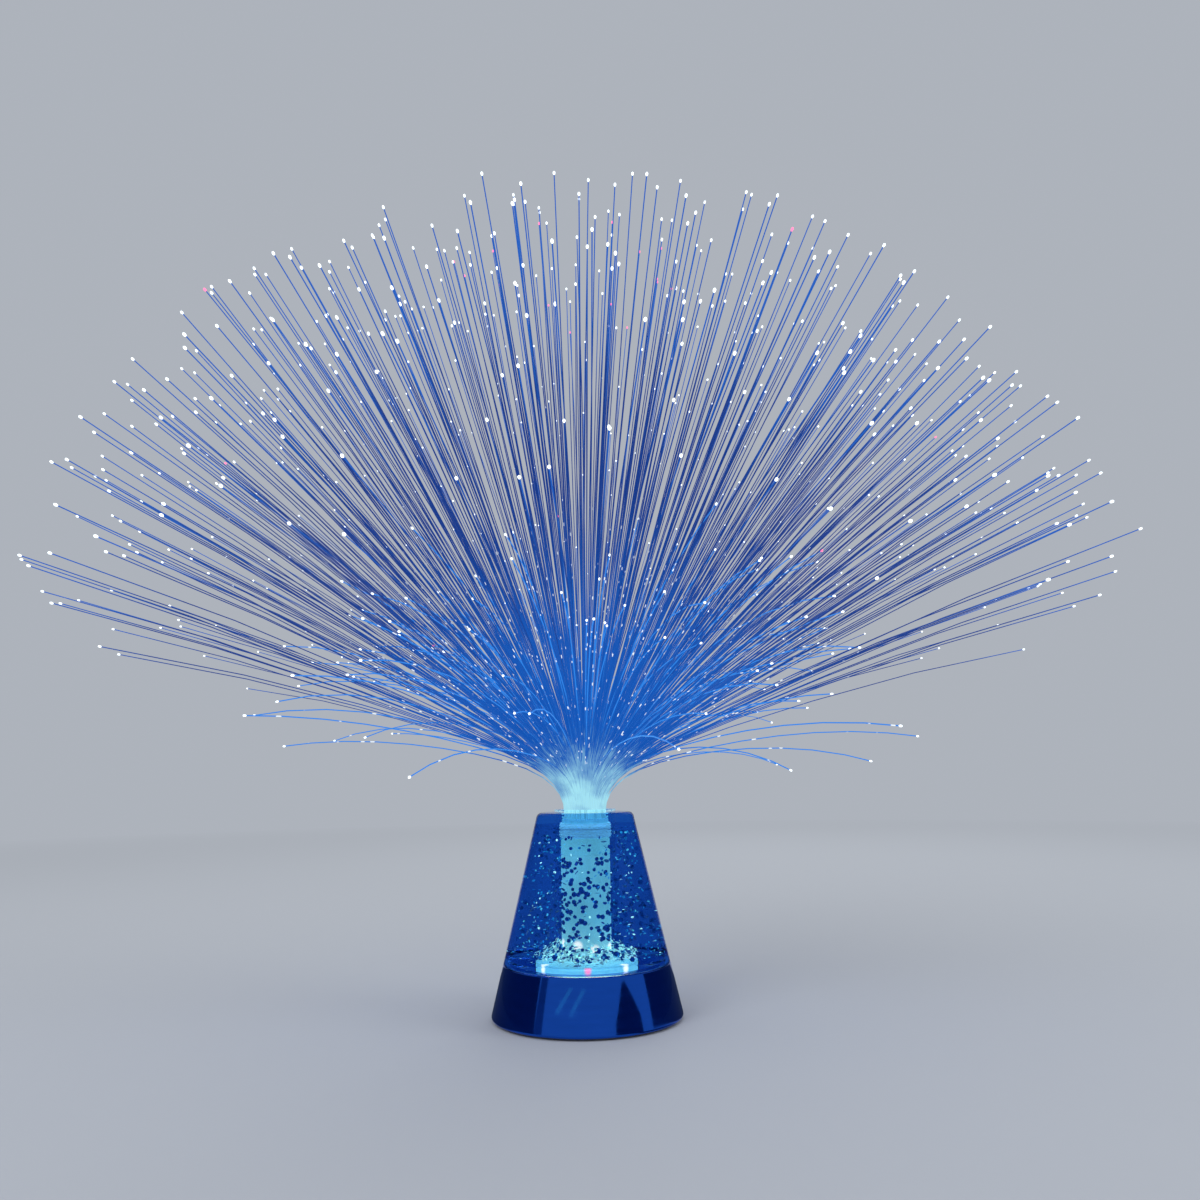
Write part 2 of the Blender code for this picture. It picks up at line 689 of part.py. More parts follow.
def make_contacts(steel):
    for terminal in battery_terminals():
        plate = contact_plate(terminal["name"], terminal["side"], terminal["y"],
                              terminal["y"], steel)
        join(plate, tab_block(f"tab_{terminal['name']}", terminal, 0.0))
    rows = list(cell_rows())
    for number, (this, following) in enumerate(zip(rows, rows[1:]), 1):
        contact_plate(f"bridge_contact_{number}", -this[1], this[0], following[0], steel)


# Wires


def rounded_route(corners, radius):
    """The corners of a wire's route, each replaced by two points at its bend."""
    route = [corners[0]]
    for before, corner, after in zip(corners, corners[1:], corners[2:]):
        for other in (before, after):
            span = math.dist(corner, other)
            share = min(radius / span, 0.45)
            route.append(tuple(c + (o - c) * share for c, o in zip(corner, other)))
    route.append(corners[-1])
    return route


def add_wire(name, corners, mat):
    path = rounded_route(corners, 2 * WIRE_RADIUS)
    mesh = solid_from_curve(name, wire_curve(name, [path], WIRE_RADIUS))
    add_object(name, mesh, mat)


def make_wires(red, black):
    """Two wires from the cells and two from the switch, over the box to the board."""
    board_edge = BOARD_RADIUS + FIT_GAP
    finishes = {"positive_contact": red, "negative_contact": black}
    for terminal in battery_terminals():
        side, y = terminal["side"], terminal["y"]
        tab_top = box_ceiling - 4 * WIRE_RADIUS + CONTACT_THICKNESS
        out = side * (box_half_length + BOX_WALL + FIT_GAP + WIRE_RADIUS)
        end_x = side * math.sqrt(board_edge**2 - (y / 2) ** 2)
        add_wire("wire_" + terminal["name"].split("_")[0],
                 [(out, y, tab_top + FIT_GAP), (out, y, wire_height),
                  (end_x + side * 4 * WIRE_RADIUS, y / 2, wire_height),
                  (end_x, y / 2, wire_height)], finishes[terminal["name"]])
    switch_top = plate_top + FIT_GAP + SWITCH_SIZE[2]
    spread = SWITCH_SIZE[0] / 4
    riser = -switch_distance + SWITCH_SIZE[1] / 2 - 2 * WIRE_RADIUS
    for name, x, mat in (("wire_switch_in", -spread, red), ("wire_switch_out", spread, black)):
        end_y = -math.sqrt(board_edge**2 - x**2)
        add_wire(name, [(x, riser, switch_top + FIT_GAP), (x, riser, wire_height),
                        (x, end_y, wire_height)], mat)


# Light engine


def led_places():
    return list(ring_places(LED_COUNT, LED_RING_RADIUS, 45.0))


def make_light_engine(mats):
    disc("led_board", BOARD_RADIUS, board_bottom, board_top, mats["board"])
    foot = board_top + FIT_GAP
    for number, (x, y) in enumerate(led_places(), 1):
        dome = foot + LED_BODY_HEIGHT
        outline = [(0.0, dome + LED_RADIUS)]
        for step in range(1, EDGE_ARC_STEPS + 1):
            angle = math.pi / 2 * (1 - step / EDGE_ARC_STEPS)
            outline.append((LED_RADIUS * math.cos(angle), dome + LED_RADIUS * math.sin(angle)))
        outline += [(LED_RADIUS, foot + LED_FLANGE_HEIGHT),
                    (LED_FLANGE_RADIUS, foot + LED_FLANGE_HEIGHT),
                    (LED_FLANGE_RADIUS, foot), (0.0, foot)]
        turned(f"led_{number}", outline, mats[f"led_{number}"], (x, y, 0.0),
               TINY_TURN_STEPS, ring=False)
    for name, size, x in (("driver_chip", CHIP_SIZE, CHIP_DISTANCE),
                          ("resistor", RESISTOR_SIZE, -CHIP_DISTANCE)):
        half_x, half_y = size[0] / 2, size[1] / 2
        box(name, (x - half_x, -half_y, foot), (x + half_x, half_y, foot + size[2]),
            mats["chip"])
    cup_outer = BOARD_RADIUS - FIT_GAP / 2
    cup = turned("diffuser_cup", [
        (0.0, diffuser_top), (cup_outer, diffuser_top), (cup_outer, diffuser_bottom),
        (cup_outer - DIFFUSER_WALL, diffuser_bottom),
        (cup_outer - DIFFUSER_WALL, diffuser_ceiling), (0.0, diffuser_ceiling),
    ], mats["diffuser"], ring=False)
    for number, (x, y) in enumerate(led_places(), 1):
        cut(cup, disc(f"cup_hole_{number}", LED_RADIUS + FIT_GAP,
                      diffuser_bottom - CUT_OVERRUN, diffuser_top + CUT_OVERRUN,
                      location=(x, y, 0.0), steps=TINY_TURN_STEPS))


# Glitter cone


def make_cone(mats):
    arc_centre = cone_top - CONE_EDGE_RADIUS
    side = skin_radius(arc_centre) - CONE_EDGE_RADIUS
    outline = list(corner_arc(side, arc_centre, CONE_EDGE_RADIUS, WALL_LEAN_SHARE))
    outline += [
        (skin_radius(cone_bottom), cone_bottom),
        (cone_inner_radius(cone_bottom), cone_bottom),
        (cone_inner_radius(cone_top - CONE_TOP_THICKNESS), cone_top - CONE_TOP_THICKNESS),
        (cone_hole_radius, cone_top - CONE_TOP_THICKNESS),
        (cone_hole_radius, cone_top),
    ]
    turned("glitter_cone", outline, mats["cone"])
    hole = COLUMN_RADIUS + FIT_GAP
    seat = hole + SEAL_WIDTH + FIT_GAP
    turned("cone_floor", [
        (floor_radius, floor_top), (floor_radius, floor_foot_bottom),
        (floor_radius - FLOOR_FOOT_WIDTH, floor_foot_bottom),
        (floor_radius - FLOOR_FOOT_WIDTH, floor_bottom), (hole, floor_bottom),
        (hole, floor_top - SEAL_DEPTH), (seat, floor_top - SEAL_DEPTH), (seat, floor_top),
    ], mats["floor"])
    tube("column_seal", hole + SEAL_WIDTH, hole, floor_top - SEAL_DEPTH + FIT_GAP,
         floor_top, mats["seal"])
    make_liquid(mats["liquid"])


def make_liquid(mat):
    """The liquid fills the cone from its floor to an air space under its top."""
    bottom = floor_top + FIT_GAP
    top = cone_top - CONE_TOP_THICKNESS - LIQUID_AIR_SPACE
    socket_bottom = column_top - SOCKET_OVERLAP - FIT_GAP
    turned("glitter_liquid", [
        (cone_inner_radius(top) - FIT_GAP, top),
        (cone_inner_radius(bottom) - FIT_GAP, bottom),
        (COLUMN_RADIUS + FIT_GAP, bottom), (COLUMN_RADIUS + FIT_GAP, socket_bottom),
        (cone_hole_radius, socket_bottom), (cone_hole_radius, top),
    ], mat)


def make_column(mats):
    well_top = column_bottom + COLUMN_WELL_DEPTH
    turned("light_column", [
        (0.0, column_top), (COLUMN_RADIUS, column_top), (COLUMN_RADIUS, column_bottom),
        (COLUMN_WELL_RADIUS, column_bottom), (COLUMN_WELL_RADIUS, well_top), (0.0, well_top),
    ], mats["column"], ring=False)
    flange = socket_outer_radius + SOCKET_FLANGE_WIDTH
    seat = cone_top + FIT_GAP
    turned("socket_sleeve", [
        (flange, socket_top), (flange, seat), (socket_outer_radius, seat),
        (socket_outer_radius, column_top - SOCKET_OVERLAP),
        (COLUMN_RADIUS + FIT_GAP, column_top - SOCKET_OVERLAP),
        (COLUMN_RADIUS + FIT_GAP, column_top), (socket_inner_radius, column_top),
        (socket_inner_radius, socket_top),
    ], mats["cone"])


# Fibre bundle


def make_bundle_holders(mats, axis):
    pitch = GRIP_HEIGHT / (2 * GRIP_RIB_COUNT + 1)
    grip_top = bundle_bottom + GRIP_HEIGHT
    outline = [(grip_outer_radius, grip_top)]
    for rib in range(GRIP_RIB_COUNT):
        start = grip_top - (2 * rib + 1) * pitch
        ribbed = grip_outer_radius + GRIP_RIB_HEIGHT
        outline += [(grip_outer_radius, start), (ribbed, start - pitch / 3),
                    (ribbed, start - 2 * pitch / 3), (grip_outer_radius, start - pitch)]
    outline += [(grip_outer_radius, bundle_bottom), (grip_inner_radius, bundle_bottom),
                (grip_inner_radius, grip_top)]
    turned("grip_ring", outline, mats["grip"], steps=RING_TURN_STEPS)
    tube("ferrule", ferrule_outer_radius, ferrule_inner_radius, bundle_bottom, ferrule_top,
         mats["ferrule"], steps=RING_TURN_STEPS, parent=axis)


def strand_route(start_radius, length, lean, droop):
    """(distance from the axis, height) along a strand that leaves the bundle upright,
    leans out within its bend length and sags towards its tip."""
    step = length / STRAND_TRACE_STEPS
    radius, height = start_radius, bundle_top - STRAND_SINK
    trace = [(radius, height)]
    for index in range(STRAND_TRACE_STEPS):
        along = (index + 0.5) * step
        angle = lean * (1 - math.exp(-along / STRAND_BEND_LENGTH))
        angle += droop * (along / length) ** 2
        radius += step * math.sin(angle)
        height += step * math.cos(angle)
        trace.append((radius, height))
    bends = [trace[round(distance / step)] for distance in STRAND_BEND_POINTS]
    return [trace[0], *bends, trace[-1]]


def stray_share(index):
    """A scatter from -0.5 to 0.5 that never repeats from one strand to the next."""
    return (index * GOLDEN_SHARE + 0.5) % 1.0 - 0.5


def strand_paths():
    """The strands of one sector. Each keeps to its own upright plane, and each ring
    leans further out than the ring inside it, so that no two cross. The outer ones are
    trimmed a little shorter."""
    sector = 2 * math.pi / SECTOR_COUNT
    paths = []
    for ring, count in enumerate(LONG_STRAND_RINGS, 1):
        for index in range(count):
            stray = stray_share(index)
            lean = math.radians((ring + LEAN_SPREAD_SHARE * stray) * LONG_LEAN_STEP_DEGREES)
            droop = math.radians(LONG_DROOP_DEGREES) * math.sin(lean) ** 2
            spread = LENGTH_SPREAD_SHARES[(index + ring - 1) % len(LENGTH_SPREAD_SHARES)]
            trim = OUTER_TRIM_SHARE * math.sin(lean) ** 4
            route = strand_route(count * STRAND_RING_STEP,
                                 LONG_STRAND_LENGTH * (1 - trim - spread), lean, droop)
            paths.append((route, (index + 0.5) / count * sector))
    for index in range(SHORT_STRAND_RING):
        spread = LENGTH_SPREAD_SHARES[index % len(LENGTH_SPREAD_SHARES)]
        stray = stray_share(index)
        lean = SHORT_LEAN_DEGREES + SHORT_LEAN_SPREAD_DEGREES * stray
        droop = SHORT_DROOP_DEGREES + SHORT_DROOP_SPREAD_DEGREES * stray
        route = strand_route(SHORT_STRAND_RING * STRAND_RING_STEP,
                             SHORT_STRAND_LENGTH * (1 - 2 * spread),
                             math.radians(lean), math.radians(droop))
        paths.append((route, (index + 0.5) / SHORT_STRAND_RING * sector))
    return [[(radius * math.cos(turn), radius * math.sin(turn), height)
             for radius, height in route] for route, turn in paths]


def sector_slice(name, radius, gap, bottom, top):
    """A slice of a disc, set in by half the gap from both sides of its sector."""
    half_turn = math.pi / SECTOR_COUNT
    inset = gap / 2 / math.sin(half_turn)
    bm = bmesh.new()
    corners = [(inset, 0.0)]
    for step in range(SECTOR_STEPS + 1):
        share = 2 * step / SECTOR_STEPS - 1
        angle = (half_turn - math.asin(gap / 2 / radius)) * share
        corners.append((radius * math.cos(angle), radius * math.sin(angle)))
    turn = Matrix.Rotation(half_turn, 3, "Z")
    ring = [bm.verts.new(turn @ Vector((x, y, bottom))) for x, y in corners]
    face = bm.faces.new(ring)
    grown = bmesh.ops.extrude_face_region(bm, geom=[face])["geom"]
    raised = [item for item in grown if isinstance(item, bmesh.types.BMVert)]
    bmesh.ops.translate(bm, vec=(0.0, 0.0, top - bottom), verts=raised)
    bmesh.ops.recalc_face_normals(bm, faces=bm.faces)
    mesh = bpy.data.meshes.new(name)
    bm.to_mesh(mesh)
    bm.free()
    return add_object(name, mesh)


def make_spray(mat, axis):
    """Eight equal sectors of strands, each grown from its own slice of the bundle."""
    collar_bottom = ferrule_top + FIT_GAP
    core = sector_slice("core_slice", core_radius, 2 * SECTOR_GAP, bundle_bottom,
                        collar_bottom + JOIN_DEPTH)
    collar = sector_slice("collar_slice", BUNDLE_COLLAR_RADIUS, SECTOR_GAP,
                          collar_bottom, bundle_top)
    curve = wire_curve("strands", strand_paths(), STRAND_RADIUS, STRAND_SIDES)
    strands = add_object("strands", solid_from_curve("strands", curve))
    join(core, collar, strands)
    bpy.context.view_layer.update()
    graph = bpy.context.evaluated_depsgraph_get()
    mesh = bpy.data.meshes.new_from_object(core.evaluated_get(graph))
    mesh.name = "fibre_sector"
    for number in range(SECTOR_COUNT):
        sector = add_object(f"fibre_sector_{number + 1}", mesh, mat, parent=axis)
        sector.rotation_euler = (0.0, 0.0, 2 * math.pi * number / SECTOR_COUNT)


def main():
    clear_scene()
    add_collection(PIECES)
    add_collection(CUTTERS)
    black = finish("black_plastic", (0.02, 0.02, 0.025), 0.5)
    steel = finish("plated_steel", (0.6, 0.6, 0.62), 0.35, 1.0)
    glass = (0.75, 0.88, 1.0)
    mats = {
        "board": finish("board_green", (0.02, 0.14, 0.06), 0.45),
        "chip": finish("chip_black", (0.03, 0.03, 0.03), 0.4),
        "diffuser": finish("diffuser_white", (0.85, 0.95, 1.0), 0.6, glow=1.0),
        "led_1": finish("led_blue", (0.1, 0.35, 1.0), 0.1, clear=0.6, glow=2.0),
        "led_2": finish("led_green", (0.1, 0.9, 0.4), 0.1, clear=0.6, glow=0.2),
        "led_3": finish("led_cyan", (0.2, 0.8, 1.0), 0.1, clear=0.6, glow=2.0),
        "led_4": finish("led_red", (1.0, 0.08, 0.05), 0.1, clear=0.6, glow=0.4),
        "cone": finish("clear_acrylic", glass, 0.05, clear=1.0),
        "floor": finish("floor_acrylic", glass, 0.1, clear=1.0),
        "seal": finish("seal_rubber", (0.75, 0.8, 0.85), 0.6),
        "liquid": finish("glitter_liquid", (0.1, 0.3, 0.9), 0.05, clear=0.9),
        "column": finish("column_acrylic", (0.35, 0.8, 0.95), 0.3, clear=0.4, glow=1.0),
        "grip": finish("grip_silver", (0.55, 0.6, 0.65), 0.4, 0.8),
        "ferrule": finish("ferrule_white", (0.75, 0.85, 0.9), 0.4),
    }
    make_base_shell(finish("chrome", (0.62, 0.66, 0.72), 0.08, 1.0))
    make_bottom_plate(black)
    make_feet(finish("foot_rubber", (0.04, 0.04, 0.045), 0.8))
    make_battery_door(finish("door_black", (0.025, 0.025, 0.03), 0.55))
    for number, place in enumerate(post_places(), 1):
        make_screw(f"housing_screw_{number}", place, SCREW_LENGTH, steel)
    make_screw("door_screw", (door_screw_distance, 0.0), DOOR_BOSS_HEIGHT, steel)
    make_switch(black, finish("lever_white", (0.7, 0.7, 0.72), 0.45))
    make_cells(finish("cell_jacket", (0.08, 0.09, 0.1), 0.3, 0.3))
    make_springs(steel)
    make_contacts(steel)
    make_wires(finish("wire_red", (0.6, 0.02, 0.02), 0.45),
               finish("wire_black", (0.02, 0.02, 0.02), 0.45))
    make_light_engine(mats)
    make_cone(mats)
    make_column(mats)
    axis = bpy.data.objects.new("spray_axis", None)
    collect(axis, PIECES)
    make_bundle_holders(mats, axis)
    make_spray(finish("fibre_acrylic", (0.2, 0.5, 1.0), 0.2, glow=1.0), axis)
    for obj in bpy.data.collections[PIECES].objects:
        if obj.type == "MESH":
            obj.data.set_sharp_from_angle(angle=math.radians(30.0))


main()
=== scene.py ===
"""The looks of a battery fibre optic lamp, laid out as a Blender add-on and run as a script.
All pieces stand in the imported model's frame: metres, +Z up, the origin on the table.
"""

import functools
import json
import math
import random

import bmesh
import bpy
from bpy.props import FloatProperty, FloatVectorProperty, IntProperty, PointerProperty
from mathutils import Matrix, Vector

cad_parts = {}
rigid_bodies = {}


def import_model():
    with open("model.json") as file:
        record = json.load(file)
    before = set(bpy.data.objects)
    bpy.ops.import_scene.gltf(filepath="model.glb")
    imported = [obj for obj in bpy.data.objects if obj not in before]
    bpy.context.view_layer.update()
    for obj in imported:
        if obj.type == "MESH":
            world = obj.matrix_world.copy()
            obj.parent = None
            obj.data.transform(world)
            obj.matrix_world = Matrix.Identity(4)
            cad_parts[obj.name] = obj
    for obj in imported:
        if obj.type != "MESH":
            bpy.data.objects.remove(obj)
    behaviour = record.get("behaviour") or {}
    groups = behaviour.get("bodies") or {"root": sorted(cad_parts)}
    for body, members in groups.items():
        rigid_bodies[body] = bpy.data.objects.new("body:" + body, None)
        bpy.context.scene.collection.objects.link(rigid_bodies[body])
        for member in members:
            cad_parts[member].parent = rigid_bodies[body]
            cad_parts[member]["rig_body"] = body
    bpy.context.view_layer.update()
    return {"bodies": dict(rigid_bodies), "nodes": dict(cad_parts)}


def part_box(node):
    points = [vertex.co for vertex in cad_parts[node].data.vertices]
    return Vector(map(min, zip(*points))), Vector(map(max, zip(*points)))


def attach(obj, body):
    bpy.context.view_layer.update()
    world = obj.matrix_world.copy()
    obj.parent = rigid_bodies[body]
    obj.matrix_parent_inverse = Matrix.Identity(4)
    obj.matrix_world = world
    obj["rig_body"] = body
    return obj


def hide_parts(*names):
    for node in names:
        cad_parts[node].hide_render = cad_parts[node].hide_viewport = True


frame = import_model()

bl_info = {
    "name": "Fibre Optic Lamp",
    "version": (1, 0, 0),
    "blender": (4, 5, 0),
    "location": "View3D > Sidebar > Lamp",
    "description": "Builds a glitter cone lamp with a spray of light fibres",
    "category": "Add Mesh",
}

SECTOR_COUNT = 8
LED_COUNT = 4
CELL_COUNT = 3

# The set fibres of each sector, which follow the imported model's strands ring by ring, and
# how far they stray in lean, droop and length
LONG_RINGS = (1, 2, 3, 4, 5, 6, 8)
SHORT_RING = 9
STRAY_SHARE = 0.6
GOLDEN_SHARE = 0.618
OUTER_TRIM_SHARE = 0.09
SHORT_LEAN_STRAY = math.radians(6.0)
SHORT_DROOP_STRAY = math.radians(20.0)
SHORT_LIFTS = [math.radians(angle) for angle in (0.0, 27.0, 40.0, 12.0, 33.0, 20.0, 46.0)]
SPREAD_SHARES = (0.0, 0.07, 0.02, 0.11, 0.04, 0.16, 0.01, 0.09, 0.05)

# The free fibres between them: how many of them stand evenly, how much of the packed
# model's reach they keep to, and the jitter of the fibres and of the bunches they draw to
EVEN_SHARE = 0.93
REACH_SHARE = 0.995
FIBRE_JITTER = 0.02
BUNCH_JITTER = 0.04

# How many free fibres are short at the bundle's middle, and how many more at its rim, how
# unevenly the long ones are cut, and how far each kind sways, as shares
SHORT_SHARE = 0.06
RIM_SHORT_SHARE = 0.1
UNEVEN_CUT_SHARE = 0.17
LONG_SWAY_SHARE = 0.012
SHORT_SWAY_SHARE = 0.03

# A fibre's course: how deep in the bundle it starts, the steps that it is worked out in,
# the steps that become its points, and how many fibres pass from one red tip to the next
FIBRE_SEAT = 0.006
TRACE_COUNT = 64
LONG_STEPS = (0, 1, 2, 4, 7, 12, 20, 32, 47, 64)
SHORT_STEPS = (0, 1, 3, 5, 8, 12, 17, 23, 30, 37, 44, 51, 58, 64)
ODD_TIP_STEP = 40

# Steps of the turned shapes, and the lengths and angles that the mesh work goes by
FINE_TURN = 128
RING_TURN = 96
SMALL_TURN = 32
MERGE_DISTANCE = 1e-6
FLAT_ANGLE = math.radians(1.0)
SHARP_ANGLE = math.radians(35.0)
PER_MILLIMETRE = 1000.0
MILLIMETRE = 0.001
FIT_GAP = 0.0003
FERRULE_WALL = 0.0005

# How bright the column and the disc are and what colours their hot spots have, all seen
# through the tinted wall and liquid. The disc's spots lie at these degrees round the axis,
# and their radii are in millimetres.
GLOW_STRENGTH = 2.0
HOT_SPOT = (4.5, 1.7, 0.75)
RED_SPOT = (4.5, 0.35, 0.3)
DISC_SPOT_TURNS = (-150.0, -38.0, 18.0, 83.0, 151.0)
DISC_SPOT_RADIUS = 2.2
RED_SPOT_TURN = -88.0
RED_SPOT_RADIUS = 1.9
COLUMN_SPOT_RADIUS = 2.5

# The glitter's kinds with their sizes, and how often each comes up: floating free, heaped
# round the column's foot, lying on the floor, hanging before the column and on the wall.
# The dark flakes are darkened as painted shade, to show as silhouettes against the lit
# column; the lit and white flakes glow as painted light and painted glints.
FLAKE_KINDS = (("dark_flake", 1.0), ("blue_flake", 0.62), ("cyan_flake", 0.48),
               ("lit_flake", 0.8), ("white_flake", 0.54))
FREE_SHARES = (0.52, 0.30, 0.13, 0.0, 0.05)
HEAP_SHARES = (0.24, 0.08, 0.12, 0.50, 0.06)
FLOOR_SHARES = (0.46, 0.30, 0.18, 0.0, 0.06)
COLUMN_SHARES = (0.96, 0.04, 0.0, 0.0, 0.0)
WALL_SHARES = (0.34, 0.30, 0.20, 0.0, 0.16)

# The floor's radius, and where it starts to fade and is gone, in metres
FLOOR_RADIUS = 6.0
FADE_START = 0.9
FADE_END = 1.9

# The cards that the chrome mirrors: how far out they stand and how near the lamp their feet
# reach, in metres. A profile's steps are (height, share of the width left there, degrees of
# lean). A card has a name, a finish, an arc in degrees to the right of the camera, a profile.
CARD_DISTANCE = 0.9
CARD_FOOT = 0.0435
FULL_PROFILE = ((0.0, 1.0, 0.0), (0.5, 0.95, 0.0))
WEDGE_PROFILE = ((0.0, 1.0, 0.0), (0.12, 0.95, 0.0), (0.4, 0.12, 0.0))
STREAK_PROFILE = ((0.2, 1.0, -8.0), (0.42, 1.0, 8.0))
CARDS = (
    ("left_card", "dark_card", -152.0, -62.0, FULL_PROFILE),
    ("left_edge_card", "grey_card", -62.0, -52.0, FULL_PROFILE),
    ("narrow_card", "dark_card", 33.0, 67.0, WEDGE_PROFILE),
    ("right_card", "dark_card", 81.0, 152.0, FULL_PROFILE),
    ("outer_streak_card", "pale_card", -31.0, -26.0, STREAK_PROFILE),
    ("inner_streak_card", "pale_card", -14.0, -9.0, STREAK_PROFILE),
)


# Settings


def size(name, default, description):
    return FloatProperty(name=name, description=description, default=default, min=0.0,
                         precision=5, subtype="DISTANCE", unit="LENGTH")


def turn(name, degrees, description):
    return FloatProperty(name=name, description=description, default=math.radians(degrees),
                         subtype="ANGLE", unit="ROTATION")


def colour(name, default, description):
    return FloatVectorProperty(name=name, description=description, default=default,
                               size=3, min=0.0, max=1.0, subtype="COLOR")


def count(name, default, description):
    return IntProperty(name=name, description=description, default=default, min=1)


def number(name, default, description):
    return FloatProperty(name=name, description=description, default=default, min=0.0)


def power(name, default, description):
    return FloatProperty(name=name, description=description, default=default, min=0.0,
                         unit="POWER")


class LampBaseSettings(bpy.types.PropertyGroup):
    # The chrome's deep blue tint is a painted reflection of the lamp's blue glow in the skin
    chrome: colour("Chrome", (0.014, 0.105, 0.60), "Tint of the chromed skin")
    skirt_wall: size("Skirt Wall", 0.0018, "Wall of the base's skirt")
    deck: size("Deck", 0.0014, "Thickness of the deck under the cone")
    foot_radius: size("Foot Radius", 0.0012, "Rounding of the base's lower edge")
    rim_radius: size("Rim Radius", 0.0004, "Rounding of the rim that the cone meets")
    plate_edge: size("Plate Edge", 0.00025, "Rounding of the moulded edges underneath")
    rib_count: count("Door Ribs", 6, "Grip ribs on the battery door")
    rib_height: size("Rib Height", 0.0005, "How far the door's ribs stand out")
    rib_width: size("Rib Width", 0.0011, "Width of a rib")
    rib_pitch: size("Rib Pitch", 0.0026, "Distance from one rib to the next")


class LampConeSettings(bpy.types.PropertyGroup):
    wall: size("Wall", 0.002, "Wall of the clear cone")
    top: size("Top Thickness", 0.0022, "Thickness of the cone's flat top")
    edge_radius: size("Edge Radius", 0.0018, "Rounding of the cone's top edge")
    acrylic: colour("Acrylic", (0.12, 0.36, 0.80), "Tint of the cone's wall")
    liquid: colour("Liquid", (0.77, 0.79, 0.88), "Tint of the glitter liquid")
    flake_count: count("Flakes", 820, "Glitter flakes that float in the liquid")
    column_count: count("Column Flakes", 270, "Glitter flakes that hang before the column")
    heap_count: count("Heaped Flakes", 760, "Glitter flakes heaped round the column's foot")
    heap_height: size("Heap Height", 0.0062, "Height of that heap at the column")
    heap_radius: size("Heap Radius", 0.0212, "Radius of that heap")
    settled_count: count("Settled Flakes", 260, "Glitter flakes that lie on the cone's floor")
    wall_count: count("Wall Flakes", 110, "Glitter flakes that cling to the cone's wall")
    flake_radius: size("Flake Radius", 0.00125, "Radius of the largest six-sided flakes")
    flake_thickness: size("Flake Thickness", 0.00006, "Thickness of a flake")
    well_radius: size("Well Radius", 0.0086, "Radius of the well under the column")
    well_depth: size("Well Depth", 0.0079, "Depth of the well under the column")
    seed: count("Seed", 7, "Seed of the flakes' places")


class LampSpraySettings(bpy.types.PropertyGroup):
    fibre_count: count("Fibres", 912, "Fibres in the whole spray")
    fibre_radius: size("Fibre Radius", 0.0002, "Radius of a long fibre")
    short_radius: size("Short Fibre Radius", 0.00024, "Radius of a short fibre")
    tip_radius: size("Tip Radius", 0.00047, "Radius of the melted bead at a fibre's end")
    tip_length: size("Tip Length", 0.0013, "Length of that bead")
    long_length: size("Long Fibres", 0.27, "Length of the long fibres from the mouth")
    short_length: size("Short Fibres", 0.158, "Length of the short fibres that arc over")
    long_bend: size("Long Bend", 0.0135, "Distance in which a long fibre leans out")
    short_bend: size("Short Bend", 0.022, "Distance in which a short fibre leans out")
    ring_step: size("Ring Step", 0.00105, "Distance from one ring of set fibres to the next")
    ring_lean: turn("Ring Lean", 9.6, "How much further each ring leans out")
    long_droop: turn("Long Droop", 9.0, "How far a long level fibre sags at its tip")
    short_lean: turn("Short Lean", 77.0, "Lean of the short fibres at the collar's rim")
    short_droop: turn("Short Droop", 22.0, "How far a short fibre sags at its tip")
    inner_lean: turn("Inner Lean", 61.0, "Lean within which the free fibres stand evenly")
    outer_lean: turn("Outer Lean", 76.0, "Lean of the outermost free fibres")
    bunch_count: count("Bunches", 300, "Bunches that the fibres' ends gather in")
    seed: count("Seed", 21, "Seed of the fibres' scatter")


class LampGlowSettings(bpy.types.PropertyGroup):
    root: colour("Root Glow", (0.34, 0.70, 0.76), "Light at the mouth of the bundle")
    strand: colour("Strand Glow", (0.004, 0.075, 0.36), "Light of a fibre near the bundle")
    far: colour("Far Glow", (0.001, 0.018, 0.15), "Light of a fibre half way out")
    end: colour("End Glow", (0.008, 0.09, 0.42), "Light of a fibre near its end")
    short: colour("Short Glow", (0.025, 0.21, 0.68), "Light of the short fibres")
    tip: colour("Tip Glow", (0.86, 0.95, 1.0), "Light at the ends of the fibres")
    odd_tip: colour("Odd Tip Glow", (0.9, 0.16, 0.32), "Light of the few fibres over the red LED")
    column: colour("Column Glow", (0.48, 0.70, 0.44), "Light of the column")
    foot: colour("Foot Glow", (1.0, 1.0, 0.52), "Light round the column's foot")
    band: colour("Band Glow", (0.50, 0.90, 0.72), "Light of the bundle in its holders")


class LampStageSettings(bpy.types.PropertyGroup):
    floor: colour("Floor", (0.42, 0.45, 0.50), "Colour of the floor and the background")
    fill_light: number("Sky Light", 0.72, "Strength of the plain light from all round")
    key_power: power("Key Light", 12.5, "Power of the large soft light")
    side_power: power("Side Light", 5.0, "Power of the side light and of the back light")
    under_power: power("Under Light", 9.0, "Power of the light on the underside")
    camera_x: FloatProperty(name="Camera Offset", description="The camera's place along X",
                            default=0.0084, unit="LENGTH")
    camera_distance: size("Camera Distance", 0.465, "From the camera to the lamp's axis")
    camera_height: size("Camera Height", 0.1046, "The camera's height over the table")
    camera_pitch: turn("Camera Pitch", 9.95, "How far the camera looks up")
    camera_roll: turn("Camera Roll", 0.93, "How far the camera leans clockwise")
    camera_lens: FloatProperty(name="Camera Lens", description="Focal length, millimetres",
                               default=30.0, min=1.0)


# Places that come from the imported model


@functools.cache
def corners(node):
    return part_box(node)


def low(node):
    return corners(node)[0]


def high(node):
    return corners(node)[1]


def radius_of(node):
    """The radius of a turned piece, wherever it stands."""
    return (high(node).x - low(node).x) / 2


def middle_of(node):
    return (low(node) + high(node)) / 2


@functools.cache
def base_lean():
    """How much the shared side of base and cone draws in for each metre of height."""
    corner = low("base_shell").z + cad_corner()
    rise = low("glitter_cone").z - corner
    return (radius_of("base_shell") - radius_of("glitter_cone")) / rise


